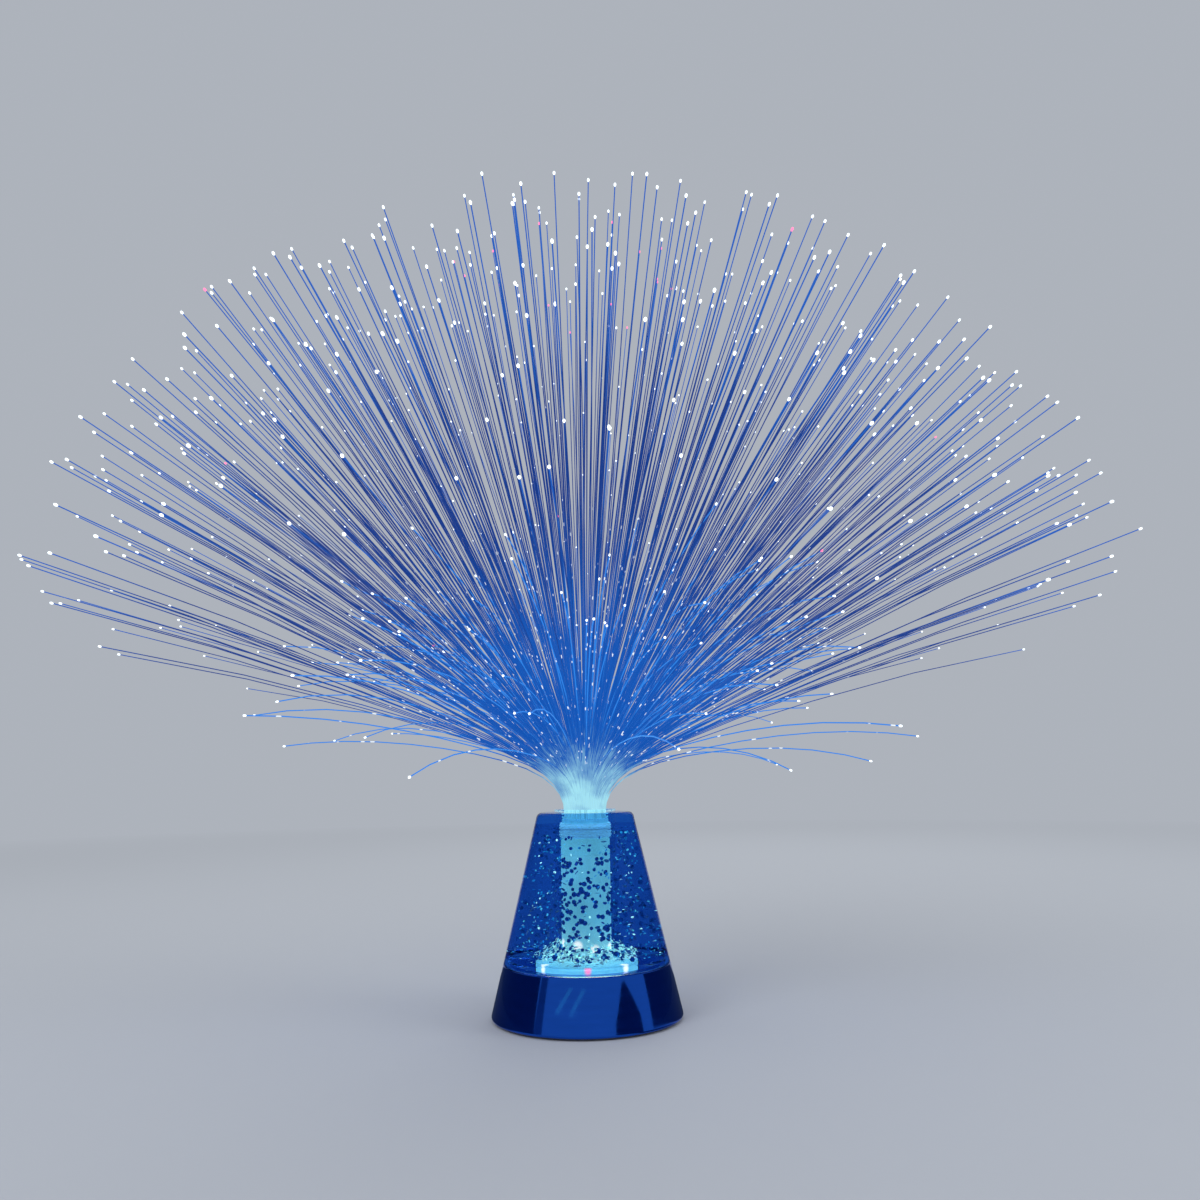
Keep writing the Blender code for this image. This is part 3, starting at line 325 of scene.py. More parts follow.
@functools.cache
def cad_corner():
    """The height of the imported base's lower corner, which is its widest place."""
    shell = frame["nodes"]["base_shell"].data.vertices
    widest = max(shell, key=lambda v: v.co.x)
    return widest.co.z - low("base_shell").z


def skin_radius(height):
    return radius_of("glitter_cone") + base_lean() * (low("glitter_cone").z - height)


def lean_width(wall):
    """The level width of a leaning wall of that thickness."""
    return wall * math.hypot(1.0, base_lean())


def extent(node):
    """The foot's height, the top's height and the radius of a turned piece."""
    return low(node).z, high(node).z, radius_of(node)


@functools.cache
def sleeve_radius():
    """The radius of the clear sleeve below its flange."""
    below = high("socket_sleeve").z - 3 * MILLIMETRE
    return max(v.co.x for v in frame["nodes"]["socket_sleeve"].data.vertices if v.co.z < below)


def bundle_radius():
    """The radius of the potted bundle inside the ferrule."""
    return radius_of("ferrule") - FERRULE_WALL - FIT_GAP


def mouth_height():
    """The height at which the fibres leave the bundle."""
    return high("socket_sleeve").z + FIT_GAP


# Mesh work


def closed(bm):
    """Merges a shape's seams and turns its faces outwards."""
    bmesh.ops.remove_doubles(bm, verts=bm.verts, dist=MERGE_DISTANCE)
    bmesh.ops.recalc_face_normals(bm, faces=bm.faces)
    return bm


def lathe(outline, steps, ring=True):
    """Turns (radius, height) points about Z into a closed skin."""
    bm = bmesh.new()
    points = [bm.verts.new((radius, 0.0, height)) for radius, height in outline]
    edges = [bm.edges.new(pair) for pair in zip(points, points[1:])]
    if ring:
        edges.append(bm.edges.new((points[-1], points[0])))
    bmesh.ops.spin(bm, geom=points + edges, cent=(0.0, 0.0, 0.0), axis=(0.0, 0.0, 1.0),
                   dvec=(0.0, 0.0, 0.0), angle=2 * math.pi, steps=steps,
                   use_merge=True, use_duplicate=False)
    return closed(bm)


def soften(bm, width, segments=3, where=None):
    """Rounds the sharp edges, or those of them whose middle passes a test."""
    edges = []
    for edge in bm.edges:
        if len(edge.link_faces) != 2 or edge.calc_face_angle() < SHARP_ANGLE:
            continue
        if where is None or where((edge.verts[0].co + edge.verts[1].co) / 2):
            edges.append(edge)
    bmesh.ops.bevel(bm, geom=edges, offset=width, offset_type="OFFSET", segments=segments,
                    profile=0.5, affect="EDGES", clamp_overlap=True, material=-1)
    return bm


def slab(bm, corner, opposite, width=0.0, segments=2):
    """Adds a box between two corners, its edges rounded by width."""
    corner, opposite = Vector(corner), Vector(opposite)
    place = Matrix.LocRotScale((corner + opposite) / 2, None, opposite - corner)
    made = bmesh.ops.create_cube(bm, size=1.0, matrix=place)["verts"]
    if width:
        edges = {edge for vert in made for edge in vert.link_edges}
        bmesh.ops.bevel(bm, geom=list(edges), offset=width, segments=segments, profile=0.5,
                        affect="EDGES", clamp_overlap=True, material=-1)
    return bm


def stand(bm, place):
    """Moves a shape that was turned about Z to stand at a place."""
    bmesh.ops.translate(bm, vec=(place.x, place.y, 0.0), verts=bm.verts)
    return bm


def join_shape(bm, other):
    """Adds another shape's faces to bm and frees it."""
    mesh = bpy.data.meshes.new("passing")
    other.to_mesh(mesh)
    other.free()
    bm.from_mesh(mesh)
    bpy.data.meshes.remove(mesh)
    return bm


def refined(node, width, segments=2):
    """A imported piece's own shape with its flat faces made whole and its edges rounded."""
    bm = bmesh.new()
    bm.from_mesh(frame["nodes"][node].data)
    bmesh.ops.remove_doubles(bm, verts=bm.verts, dist=MERGE_DISTANCE)
    bmesh.ops.dissolve_limit(bm, angle_limit=FLAT_ANGLE, verts=bm.verts, edges=bm.edges)
    return soften(bm, width, segments)


def linked(name, data):
    """An object that holds the data, in the scene."""
    obj = bpy.data.objects.new(name, data)
    bpy.context.scene.collection.objects.link(obj)
    return obj


def linked_shape(name, bm):
    """An object that holds the shape, which is freed."""
    mesh = bpy.data.meshes.new(name)
    bm.to_mesh(mesh)
    bm.free()
    return linked(name, mesh)


def evaluated_shape(obj):
    """The shape that an object shows, with the object itself removed."""
    bpy.context.view_layer.update()
    graph = bpy.context.evaluated_depsgraph_get()
    mesh = bpy.data.meshes.new_from_object(obj.evaluated_get(graph))
    bpy.data.objects.remove(obj, do_unlink=True)
    shape = bmesh.new()
    shape.from_mesh(mesh)
    bpy.data.meshes.remove(mesh)
    return shape


def carved(bm, cutters):
    """The shape less its cutters."""
    body = linked_shape("passing", bm)
    tools = [linked_shape("passing", cutter) for cutter in cutters]
    for tool in tools:
        cut = body.modifiers.new("Cut", "BOOLEAN")
        cut.operation = "DIFFERENCE"
        cut.solver = "EXACT"
        cut.object = tool
    shape = evaluated_shape(body)
    for tool in tools:
        bpy.data.objects.remove(tool, do_unlink=True)
    return shape


def tube_curve(paths, radius, sides_level=1):
    """A round wire along each path. A path's points are (x, y, z) or (x, y, z, share),
    whose share widens the wire there."""
    data = bpy.data.curves.new("passing", "CURVE")
    data.dimensions = "3D"
    data.use_fill_caps = True
    data.bevel_depth = radius
    data.bevel_resolution = sides_level
    for path in paths:
        spline = data.splines.new("POLY")
        spline.points.add(len(path) - 1)
        for point, place in zip(spline.points, path):
            point.co = (*place[:3], 1.0)
            point.radius = place[3] if len(place) > 3 else 1.0
    return data


def tube_shape(paths, radius, sides_level=1):
    """The wires as one closed shape, their caps welded to their sides."""
    return closed(evaluated_shape(linked("passing", tube_curve(paths, radius, sides_level))))


def add_piece(name, bm, finishes, node):
    """Links a finished shape, which rides with its CAD node and stands for it."""
    obj = linked_shape(name, bm)
    for title in finishes:
        obj.data.materials.append(finish(title))
    obj.data.shade_smooth()
    obj.data.set_sharp_from_angle(angle=SHARP_ANGLE)
    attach(obj, frame["nodes"][node]["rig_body"])
    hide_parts(node)
    return obj


def paint(obj, index, where):
    """Gives the faces whose middle passes a test one of the piece's finishes."""
    for face in obj.data.polygons:
        if where(face.center):
            face.material_index = index


def dress(node, title):
    """A CAD node whose shape is right keeps it and gets its finish."""
    slots = frame["nodes"][node].data.materials
    slots.clear()
    slots.append(finish(title))


# Finishes


def scaled(tint, share):
    return [c * share for c in tint]


class Finish:
    """A Principled material and short ways to add the nodes of its pattern."""

    def __init__(self, name, tint, roughness, values=None):
        self.material = bpy.data.materials.new(name)
        self.material.use_nodes = True
        self.tree = self.material.node_tree
        self.shader = self.tree.nodes["Principled BSDF"]
        self.set("Base Color", (*tint, 1.0))
        self.set("Roughness", roughness)
        for socket, value in (values or {}).items():
            self.set(socket, value)

    def set(self, socket, value):
        if isinstance(value, bpy.types.NodeSocket):
            self.tree.links.new(value, self.shader.inputs[socket])
        else:
            self.shader.inputs[socket].default_value = value

    def node(self, kind, inputs=None, **settings):
        made = self.tree.nodes.new("ShaderNode" + kind)
        for key, value in settings.items():
            setattr(made, key, value)
        for key, value in (inputs or {}).items():
            if isinstance(value, bpy.types.NodeSocket):
                self.tree.links.new(value, made.inputs[key])
            else:
                made.inputs[key].default_value = value
        return made

    def place(self, centre=(0.0, 0.0, 0.0), stretch=(1.0, 1.0, 1.0)):
        """The place on the piece in millimetres from centre, stretched along the axes."""
        scale = [PER_MILLIMETRE * s for s in stretch]
        shift = [-c * s for c, s in zip(centre, scale)]
        where = self.node("TexCoord").outputs["Object"]
        return self.node("Mapping", {"Vector": where, "Location": shift,
                                     "Scale": scale}).outputs["Vector"]

    def rise(self, level):
        """Millimetres above a height."""
        return self.node("SeparateXYZ", {0: self.place((0.0, 0.0, level))}).outputs["Z"]

    def noise(self, where, scale, detail=3.0, roughness=0.55):
        return self.node("TexNoise", {"Vector": where, "Scale": scale, "Detail": detail,
                                      "Roughness": roughness}).outputs["Fac"]

    def cells(self, where, scale, feature="F1", output="Distance"):
        return self.node("TexVoronoi", {"Vector": where, "Scale": scale},
                         feature=feature).outputs[output]

    def waves(self, where, scale, direction="Z", distortion=0.0):
        return self.node("TexWave", {"Vector": where, "Scale": scale,
                                     "Distortion": distortion},
                         bands_direction=direction).outputs["Fac"]

    def ramp(self, source, stops):
        """Colours or plain values along source; a stop is (position, value)."""
        made = self.node("ValToRGB", {"Fac": source})
        elements = made.color_ramp.elements
        while len(elements) < len(stops):
            elements.new(0.5)
        for element, (position, value) in zip(elements, stops):
            tint = (value,) * 3 if isinstance(value, (int, float)) else value
            element.position = position
            element.color = (*tint, 1.0)
        return made.outputs["Color"]

    def colours(self, socket, source, *stops):
        """Sets a socket to colours along source."""
        self.set(socket, self.ramp(source, stops))

    def span(self, source, start, end, low_value=0.0, high_value=1.0):
        return self.node("MapRange", {"Value": source, "From Min": start, "From Max": end,
                                      "To Min": low_value,
                                      "To Max": high_value}).outputs["Result"]

    def math(self, operation, first, second=0.0):
        return self.node("Math", {0: first, 1: second}, operation=operation).outputs[0]

    def mix(self, share, first, second, blend="MIX"):
        first, second = [v if isinstance(v, bpy.types.NodeSocket) else (*v, 1.0)
                         for v in (first, second)]
        return self.node("Mix", {0: share, 6: first, 7: second}, data_type="RGBA",
                         blend_type=blend).outputs[2]

    def distance(self, centre):
        """Millimetres from a point of the piece."""
        return self.node("VectorMath", {0: self.place(centre)},
                         operation="LENGTH").outputs["Value"]

    def spots(self, places):
        """1 at each ((x, y, z), radius), falling to 0 at the radius, in millimetres."""
        most = 0.0
        for centre, radius in places:
            near = self.span(self.distance([c * MILLIMETRE for c in centre]),
                             radius * 0.5, radius, 1.0, 0.0)
            most = self.math("MAXIMUM", most, near)
        return most

    def bump(self, height, depth, strength=1.0):
        """A relief of depth metres."""
        self.set("Normal", self.node("Bump", {"Height": height, "Distance": depth,
                                              "Strength": strength}).outputs["Normal"])

    def grade(self, source, rough_low, rough_high, start=0.3, end=0.7):
        self.set("Roughness", self.span(source, start, end, rough_low, rough_high))


def chrome_finish(name):
    """A chromed skin: mirror bright, with wiping smears and a low ripple of the moulding. Its deep
    blue tint is a painted reflection of the lamp's blue glow.
    """
    tint = bpy.context.scene.lamp_base.chrome
    look = Finish(name, tint, 0.06, {"Metallic": 1.0})
    smears = look.noise(look.place(stretch=(0.06, 0.06, 0.4)), 1.0, 4.0, 0.6)
    look.grade(smears, 0.035, 0.13)
    # The smears are real; the deep blue tint under them is a painted reflection of the lamp's glow
    look.colours("Base Color", smears, (0.3, scaled(tint, 0.9)), (0.7, tint))
    ripple = look.noise(look.place(stretch=(0.05, 0.05, 0.02)), 1.0, 1.0)
    look.bump(ripple, 0.0004, 0.35)
    return look


def moulded_finish(name, tint, grain, roughness=0.5):
    """Moulded plastic with a fine grain and paler scuffs."""
    look = Finish(name, tint, roughness)
    fine = look.noise(look.place(), grain, 2.0)
    scuffs = look.noise(look.place(stretch=(0.3, 1.2, 0.6)), 0.35, 6.0, 0.65)
    worn = [min(1.0, c * 1.6 + 0.012) for c in tint]
    look.colours("Base Color", scuffs, (0.45, tint), (0.75, worn))
    look.grade(scuffs, roughness - 0.08, roughness + 0.14)
    look.bump(fine, 0.00006, 0.5)
    return look


def steel_finish(name):
    """Nickel plated steel with fine drawn lines."""
    look = Finish(name, (0.62, 0.61, 0.58), 0.3, {"Metallic": 1.0})
    lines = look.noise(look.place(stretch=(6.0, 6.0, 0.6)), 1.0, 3.0)
    spots = look.noise(look.place(), 0.8, 4.0)
    look.colours("Base Color", spots, (0.35, (0.50, 0.49, 0.46)), (0.7, (0.68, 0.67, 0.65)))
    look.grade(lines, 0.2, 0.42)
    look.bump(lines, 0.00002, 0.4)
    return look


def rubber_finish(name, tint=(0.035, 0.036, 0.04)):
    """Soft rubber with a matte skin and dust in its pores."""
    look = Finish(name, tint, 0.85)
    pores = look.noise(look.place(), 5.0, 4.0, 0.7)
    dust = look.noise(look.place(), 0.5, 5.0, 0.7)
    look.colours("Base Color", dust, (0.45, tint), (0.8, [c + 0.05 for c in tint]))
    look.bump(pores, 0.00008, 0.6)
    return look


def board_finish(name):
    """Green solder mask over copper tracks, with tinned pads."""
    look = Finish(name, (0.01, 0.12, 0.05), 0.35, {"Coat Weight": 0.4})
    where = look.place()
    tracks = look.cells(where, 0.32, "DISTANCE_TO_EDGE")
    track = look.ramp(tracks, [(0.0, 1.0), (0.06, 1.0), (0.08, 0.0)])
    pads = look.ramp(look.cells(where, 0.45), [(0.0, 1.0), (0.12, 1.0), (0.15, 0.0)])
    green = look.mix(track, (0.008, 0.10, 0.04), (0.03, 0.24, 0.09))
    look.set("Base Color", look.mix(pads, green, (0.62, 0.60, 0.56)))
    look.set("Metallic", pads)
    look.bump(look.math("MAXIMUM", track, pads), 0.00004, 0.8)
    return look


def led_finish(name, tint, strength):
    """A tinted epoxy lens that is brightest at its dome."""
    glow = bpy.context.scene.lamp_glow
    look = Finish(name, tint, 0.08, {"Emission Strength": strength, "Coat Weight": 0.3})
    haze = look.noise(look.place(), 1.4, 2.0)
    lit = look.math("ADD", look.span(look.rise(high("led_1").z), -6.0, -0.5),
                    look.span(haze, 0.3, 0.7, -0.1, 0.1))
    look.colours("Emission Color", lit, (0.1, scaled(tint, 0.5)), (0.55, tint), (0.95, glow.tip))
    return look


def disc_finish(name):
    """Frosted plastic over the board, lit from the LEDs outwards, with hot spots at its rim."""
    glow = bpy.context.scene.lamp_glow
    look = Finish(name, (0.55, 0.75, 0.80), 0.5, {"Emission Strength": GLOW_STRENGTH})
    frost = look.noise(look.place(), 1.1, 4.0, 0.65)
    top = high("diffuser_cup").z
    away = look.distance((0.0, 0.0, top))
    lit = look.math("ADD", look.span(away, 6.0, 21.0, 1.0, 0.45),
                    look.span(frost, 0.3, 0.7, -0.16, 0.16))
    body = look.ramp(lit, [(0.0, scaled(glow.column, 0.3)), (0.45, glow.column),
                           (0.9, glow.foot)])
    rim = radius_of("diffuser_cup") * PER_MILLIMETRE * 0.96

    def at_rim(degrees):
        angle = math.radians(degrees)
        return rim * math.cos(angle), rim * math.sin(angle), top * PER_MILLIMETRE

    hot = look.spots([(at_rim(degrees), DISC_SPOT_RADIUS) for degrees in DISC_SPOT_TURNS])
    red = look.spots([(at_rim(RED_SPOT_TURN), RED_SPOT_RADIUS)])
    look.set("Emission Color", look.mix(red, look.mix(hot, body, HOT_SPOT), RED_SPOT))
    look.bump(look.noise(look.place(), 4.0), 0.00008, 0.5)
    return look


def acrylic_finish(name, tint, ior=1.1, smear=0.008):
    """Clear acrylic with faint wiping marks and flow lines. An index of 1 is for a face that
    the liquid wets, where light isn't bent again."""
    look = Finish(name, tint, 0.0, {"Transmission Weight": 1.0, "IOR": ior})
    marks = look.noise(look.place(stretch=(0.5, 0.5, 0.1)), 0.4, 5.0, 0.6)
    look.grade(marks, 0.0, smear)
    flow = look.noise(look.place(stretch=(0.25, 0.25, 0.06)), 1.0, 1.0)
    look.bump(flow, 0.0001, 0.1)
    return look


def sleeve_finish(name):
    """The sleeve's clear acrylic, whose flange catches the bundle's light above the cone."""
    look = acrylic_finish(name, (0.88, 0.97, 1.0), 1.06, 0.02)
    above = look.span(look.rise(high("glitter_cone").z), 0.0, 0.5)
    look.set("Emission Strength", 0.12)
    look.colours("Emission Color", above, (0.0, 0.0), (1.0, (0.12, 0.50, 0.72)))
    return look


def liquid_finish(name, tint, strength, ior=1.015):
    """Tinted liquid that bends light as little as its neighbours do, with slow clouds. Its faint
    glow, stirred by the same clouds, is painted light of the column scattered in the liquid.
    """
    look = Finish(name, tint, 0.0, {"Transmission Weight": 1.0, "IOR": ior,
                                    "Specular IOR Level": 0.1, "Emission Strength": strength})
    cloud = look.noise(look.place(stretch=(0.05, 0.05, 0.03)), 1.0, 3.0)
    look.colours("Base Color", cloud, (0.35, scaled(tint, 0.7)), (0.65, tint))
    glow = bpy.context.scene.lamp_glow
    # Painted light: a faint glow of the column's light scattered in the liquid
    look.colours("Emission Color", cloud, (0.3, glow.far), (0.7, glow.strand))
    return look


def flake_finish(name, tint, metallic, strength):
    """A metal film flake, its brightness stirred from place to place. It glows in its own tint as
    painted light: the column's light caught by the flake, and on the brightest kinds painted
    glints.
    """
    look = Finish(name, tint, 0.3, {"Metallic": metallic, "Emission Strength": strength})
    stir = look.noise(look.place(), 0.9, 2.0)
    dull = scaled(tint, 0.3)
    look.colours("Base Color", stir, (0.35, dull), (0.65, tint))
    # Emission: painted light and painted glints of the flake
    look.colours("Emission Color", stir, (0.3, dull), (0.6, tint))
    return look


def column_finish(name):
    """The acrylic light column: brightest over the LEDs, whose hot spots show at its foot,
    with drawn lines in its skin."""
    glow = bpy.context.scene.lamp_glow
    look = Finish(name, (0.05, 0.12, 0.12), 0.22, {"Emission Strength": GLOW_STRENGTH})
    height = look.rise(low("light_column").z)
    lines = look.noise(look.place(stretch=(1.6, 1.6, 0.05)), 1.0, 3.0)
    cloud = look.noise(look.place(), 0.11, 3.0)
    uneven = look.math("ADD", look.span(lines, 0.3, 0.7, -0.07, 0.07),
                       look.span(cloud, 0.3, 0.7, -0.12, 0.12))
    lit = look.math("ADD", look.span(height, 2.0, 24.0, 0.85, 0.34), uneven)
    body = look.ramp(lit, [(0.1, scaled(glow.column, 0.75)), (0.45, glow.column),
                           (0.95, glow.foot)])
    side = middle_of("led_1").x * PER_MILLIMETRE
    face = math.sqrt((radius_of("light_column") * PER_MILLIMETRE)**2 - side**2)
    level = high("led_1").z * PER_MILLIMETRE + 0.8
    hot = [((u * a, v * b, level + (u * v) * 0.9), COLUMN_SPOT_RADIUS)
           for a, b in ((side, face), (face, side)) for u in (-1, 1) for v in (-1, 1)]
    look.set("Emission Color", look.mix(look.spots(hot), body, HOT_SPOT))
    look.bump(lines, 0.00005, 0.4)
    return look


def grip_finish(name):
    """Silvered plastic, scored round with fine lines. It glows as painted light, with pale painted
    highlights along the scoring.
    """
    look = Finish(name, (0.55, 0.70, 0.62), 0.3, {"Metallic": 0.5, "Emission Strength": 1.4})
    scoring_and_painted_highlights = look.waves(look.place(), 0.75, distortion=0.4)
    stain = look.noise(look.place(stretch=(0.4, 0.4, 2.0)), 1.0, 4.0)
    look.colours("Base Color", stain, (0.3, (0.35, 0.48, 0.44)), (0.7, (0.75, 0.85, 0.78)))
    # Emission along the scoring: a painted glow with pale painted highlights on the ribs
    look.colours("Emission Color", scoring_and_painted_highlights, (0.15, (0.20, 0.38, 0.36)),
                 (0.85, (0.85, 0.95, 0.66)))
    look.grade(stain, 0.2, 0.45)
    look.bump(scoring_and_painted_highlights, 0.00012, 0.6)
    return look


def ferrule_finish(name):
    """Milky plastic that the bundle lights from inside."""
    glow = bpy.context.scene.lamp_glow
    look = Finish(name, (0.25, 0.45, 0.45), 0.4, {"Emission Strength": 1.0})
    drawn = look.noise(look.place(stretch=(1.0, 1.0, 0.1)), 0.8, 3.0)
    look.colours("Emission Color", drawn, (0.3, scaled(glow.band, 0.7)), (0.7, glow.band))
    look.bump(drawn, 0.00004, 0.4)
    return look


def fibre_finish(name, stops, nick_end, nick_size):
    """Acrylic fibre: cyan at the mouth, then blue, in stops along 250 mm from the mouth,
    with small nicks on its lower length that let the light out."""
    glow = bpy.context.scene.lamp_glow
    look = Finish(name, (0.006, 0.03, 0.13), 0.3, {"Emission Strength": 1.0,
                                                    "Coat Weight": 0.2})
    away = look.distance((0.0, 0.0, mouth_height()))
    haze = look.noise(look.place(), 0.12, 3.0)
    reach = look.math("ADD", away, look.span(haze, 0.3, 0.7, -9.0, 9.0))
    middle = [(a + b) / 2 for a, b in zip(glow.root, glow.strand)]
    start = [(0.0, glow.root), (0.03, glow.root), (0.08, middle)]
    body = look.ramp(look.span(reach, 0.0, 250.0), start + stops)
    nicks = look.ramp(look.cells(look.place(), 0.17),
                      [(0.0, 1.0), (nick_size, 1.0), (nick_size + 0.04, 0.0)])
    near = look.math("MULTIPLY", look.span(away, 18.0, 34.0),
                     look.span(away, nick_end * 0.7, nick_end, 1.0, 0.0))
    look.set("Emission Color", look.mix(look.math("MULTIPLY", nicks, near), body, glow.tip))
    return look


def long_fibre_finish(name):
    """A long fibre, darkest two thirds of the way out."""
    glow = bpy.context.scene.lamp_glow
    return fibre_finish(name, [(0.15, glow.strand), (0.34, glow.strand), (0.58, glow.far),
                               (0.78, glow.far), (0.96, glow.end)], 150.0, 0.11)


def short_fibre_finish(name):
    """A short fibre, lit along its length and nicked to its end."""
    glow = bpy.context.scene.lamp_glow
    return fibre_finish(name, [(0.14, glow.strand), (0.26, glow.short), (0.7, glow.short)],
                        260.0, 0.17)


def tip_finish(name, tint):
    """The cut end of a fibre, where its light comes out."""
    look = Finish(name, tint, 0.3, {"Emission Strength": 1.25})
    stir = look.noise(look.place(), 0.35, 2.0)
    look.colours("Emission Color", stir, (0.3, scaled(tint, 0.82)), (0.6, tint))
    return look


def bundle_finish(name):
    """The potted bundle: packed fibre ends below, and light all round."""
    glow = bpy.context.scene.lamp_glow
    look = Finish(name, (0.12, 0.28, 0.30), 0.35, {"Emission Strength": 1.0})
    ends = look.cells(look.place(stretch=(1.0, 1.0, 0.02)), 1.9, "DISTANCE_TO_EDGE")
    below = look.span(look.rise(high("glitter_cone").z), -0.4, 0.4, 1.0, 0.0)
    lit = look.mix(below, glow.root, scaled(glow.band, 1.25))
    gaps = look.ramp(ends, [(0.0, 0.5), (0.2, 1.0)])
    look.set("Emission Color", look.mix(1.0, lit, gaps, "MULTIPLY"))
    look.bump(ends, 0.0001, 0.6)
    return look


def jacket_finish(name):
    """A cell's plain dark film, a little rubbed."""
    look = Finish(name, (0.03, 0.03, 0.035), 0.25, {"Coat Weight": 0.6})
    lines = look.noise(look.place(stretch=(0.2, 1.5, 1.5)), 1.0, 2.0)
    rub = look.noise(look.place(), 0.5, 4.0)
    look.colours("Base Color", rub, (0.4, (0.025, 0.027, 0.032)), (0.8, (0.07, 0.075, 0.085)))
    look.bump(lines, 0.00003, 0.3)
    return look


def band_finish(name):
    """The copper-coloured shoulder of a cell's film."""
    look = Finish(name, (0.62, 0.30, 0.13), 0.28, {"Metallic": 0.9, "Coat Weight": 0.4})
    rub = look.noise(look.place(), 0.7, 4.0)
    look.colours("Base Color", rub, (0.35, (0.48, 0.22, 0.09)), (0.7, (0.68, 0.35, 0.16)))
    look.grade(rub, 0.2, 0.4)
    return look


def sheath_finish(name, tint):
    """A wire's soft sheath."""
    look = Finish(name, tint, 0.45)
    fine = look.noise(look.place(), 3.0, 3.0)
    look.colours("Base Color", fine, (0.3, scaled(tint, 0.8)), (0.7, tint))
    look.bump(fine, 0.00003, 0.3)
    return look


def card_finish(name, tint):
    """Matte card that shows in the chrome, and not in what lies behind clear plastic."""
    look = Finish(name, tint, 0.9)
    inside = look.node("LightPath").outputs["Transmission Depth"]
    hidden = look.math("GREATER_THAN", inside, 0.5)
    clear = look.node("BsdfTransparent").outputs[0]
    both = look.node("MixShader", {0: hidden, 1: look.shader.outputs[0], 2: clear})
    look.tree.links.new(both.outputs[0], look.tree.nodes["Material Output"].inputs["Surface"])
    return look


FINISHES = {
    "chromed_skin": chrome_finish,
    "black_moulding": lambda name: moulded_finish(name, (0.026, 0.026, 0.03), 3.2),
    "door_moulding": lambda name: moulded_finish(name, (0.034, 0.034, 0.039), 2.2, 0.55),
    "switch_moulding": lambda name: moulded_finish(name, (0.66, 0.67, 0.69), 4.0, 0.4),
    "nickel_steel": steel_finish,
    "foot_rubber": rubber_finish,
    "seal_rubber": lambda name: rubber_finish(name, (0.50, 0.56, 0.62)),
    "solder_mask": board_finish,
    "chip_moulding": lambda name: moulded_finish(name, (0.02, 0.02, 0.022), 8.0, 0.45),
    "led_blue": lambda name: led_finish(name, (0.10, 0.42, 1.0), 1.6),
    "led_green": lambda name: led_finish(name, (0.30, 0.95, 0.62), 1.6),
    "led_cyan": lambda name: led_finish(name, (0.35, 0.88, 1.0), 1.6),
    "led_red": lambda name: led_finish(name, (1.0, 0.10, 0.14), 1.3),
    "frosted_disc": disc_finish,
    "clear_acrylic": lambda name: acrylic_finish(name, bpy.context.scene.lamp_cone.acrylic),
    "wetted_acrylic": lambda name: acrylic_finish(name, bpy.context.scene.lamp_cone.acrylic, 1.0),
    "floor_acrylic": lambda name: acrylic_finish(name, (0.88, 0.97, 1.0), 1.02),
    "sleeve_acrylic": sleeve_finish,
    "blue_liquid": lambda name: liquid_finish(name, bpy.context.scene.lamp_cone.liquid, 0.1),
    "inner_liquid": lambda name: liquid_finish(name, (0.92, 0.97, 1.0), 0.0, 1.0),
    # Dark flakes, darkened as painted shade so that they show as silhouettes against the lit
    # column
    "dark_flake": lambda name: flake_finish(name, (0.02, 0.09, 0.26), 0.0, 0.8),
    "blue_flake": lambda name: flake_finish(name, (0.06, 0.50, 0.62), 0.0, 1.0),
    "cyan_flake": lambda name: flake_finish(name, (0.36, 0.95, 0.66), 0.0, 1.4),
    "lit_flake": lambda name: flake_finish(name, (1.0, 1.0, 0.52), 0.0, 2.2),
    # Sparkling flakes whose strong emission is painted glints
    "white_flake": lambda name: flake_finish(name, (1.0, 0.85, 0.42), 0.0, 4.6),
    "light_column": column_finish,
    "silvered_grip": grip_finish,
    "milky_ferrule": ferrule_finish,
    "long_fibre": long_fibre_finish,
    "short_fibre": short_fibre_finish,
    "fibre_tip": lambda name: tip_finish(name, bpy.context.scene.lamp_glow.tip),
    "odd_tip": lambda name: tip_finish(name, bpy.context.scene.lamp_glow.odd_tip),
    "potted_bundle": bundle_finish,
    "cell_jacket": jacket_finish,
    "cell_band": band_finish,
    "red_sheath": lambda name: sheath_finish(name, (0.55, 0.02, 0.02)),
    "black_sheath": lambda name: sheath_finish(name, (0.02, 0.02, 0.022)),
    "dark_card": lambda name: card_finish(name, (0.012, 0.035, 0.085)),
    "grey_card": lambda name: card_finish(name, (0.10, 0.13, 0.20)),
    "pale_card": lambda name: card_finish(name, (0.75, 0.9, 0.65)),
}


@functools.cache
def finish(title):
    """The material of that title, made when it is first asked for."""
    return FINISHES[title](title).material


# Pieces


class LampOperator(bpy.types.Operator):
    """What the lamp's operators share"""

    bl_options = {"REGISTER", "UNDO"}

    def execute(self, context):
        self.build(context.scene)
        return {"FINISHED"}


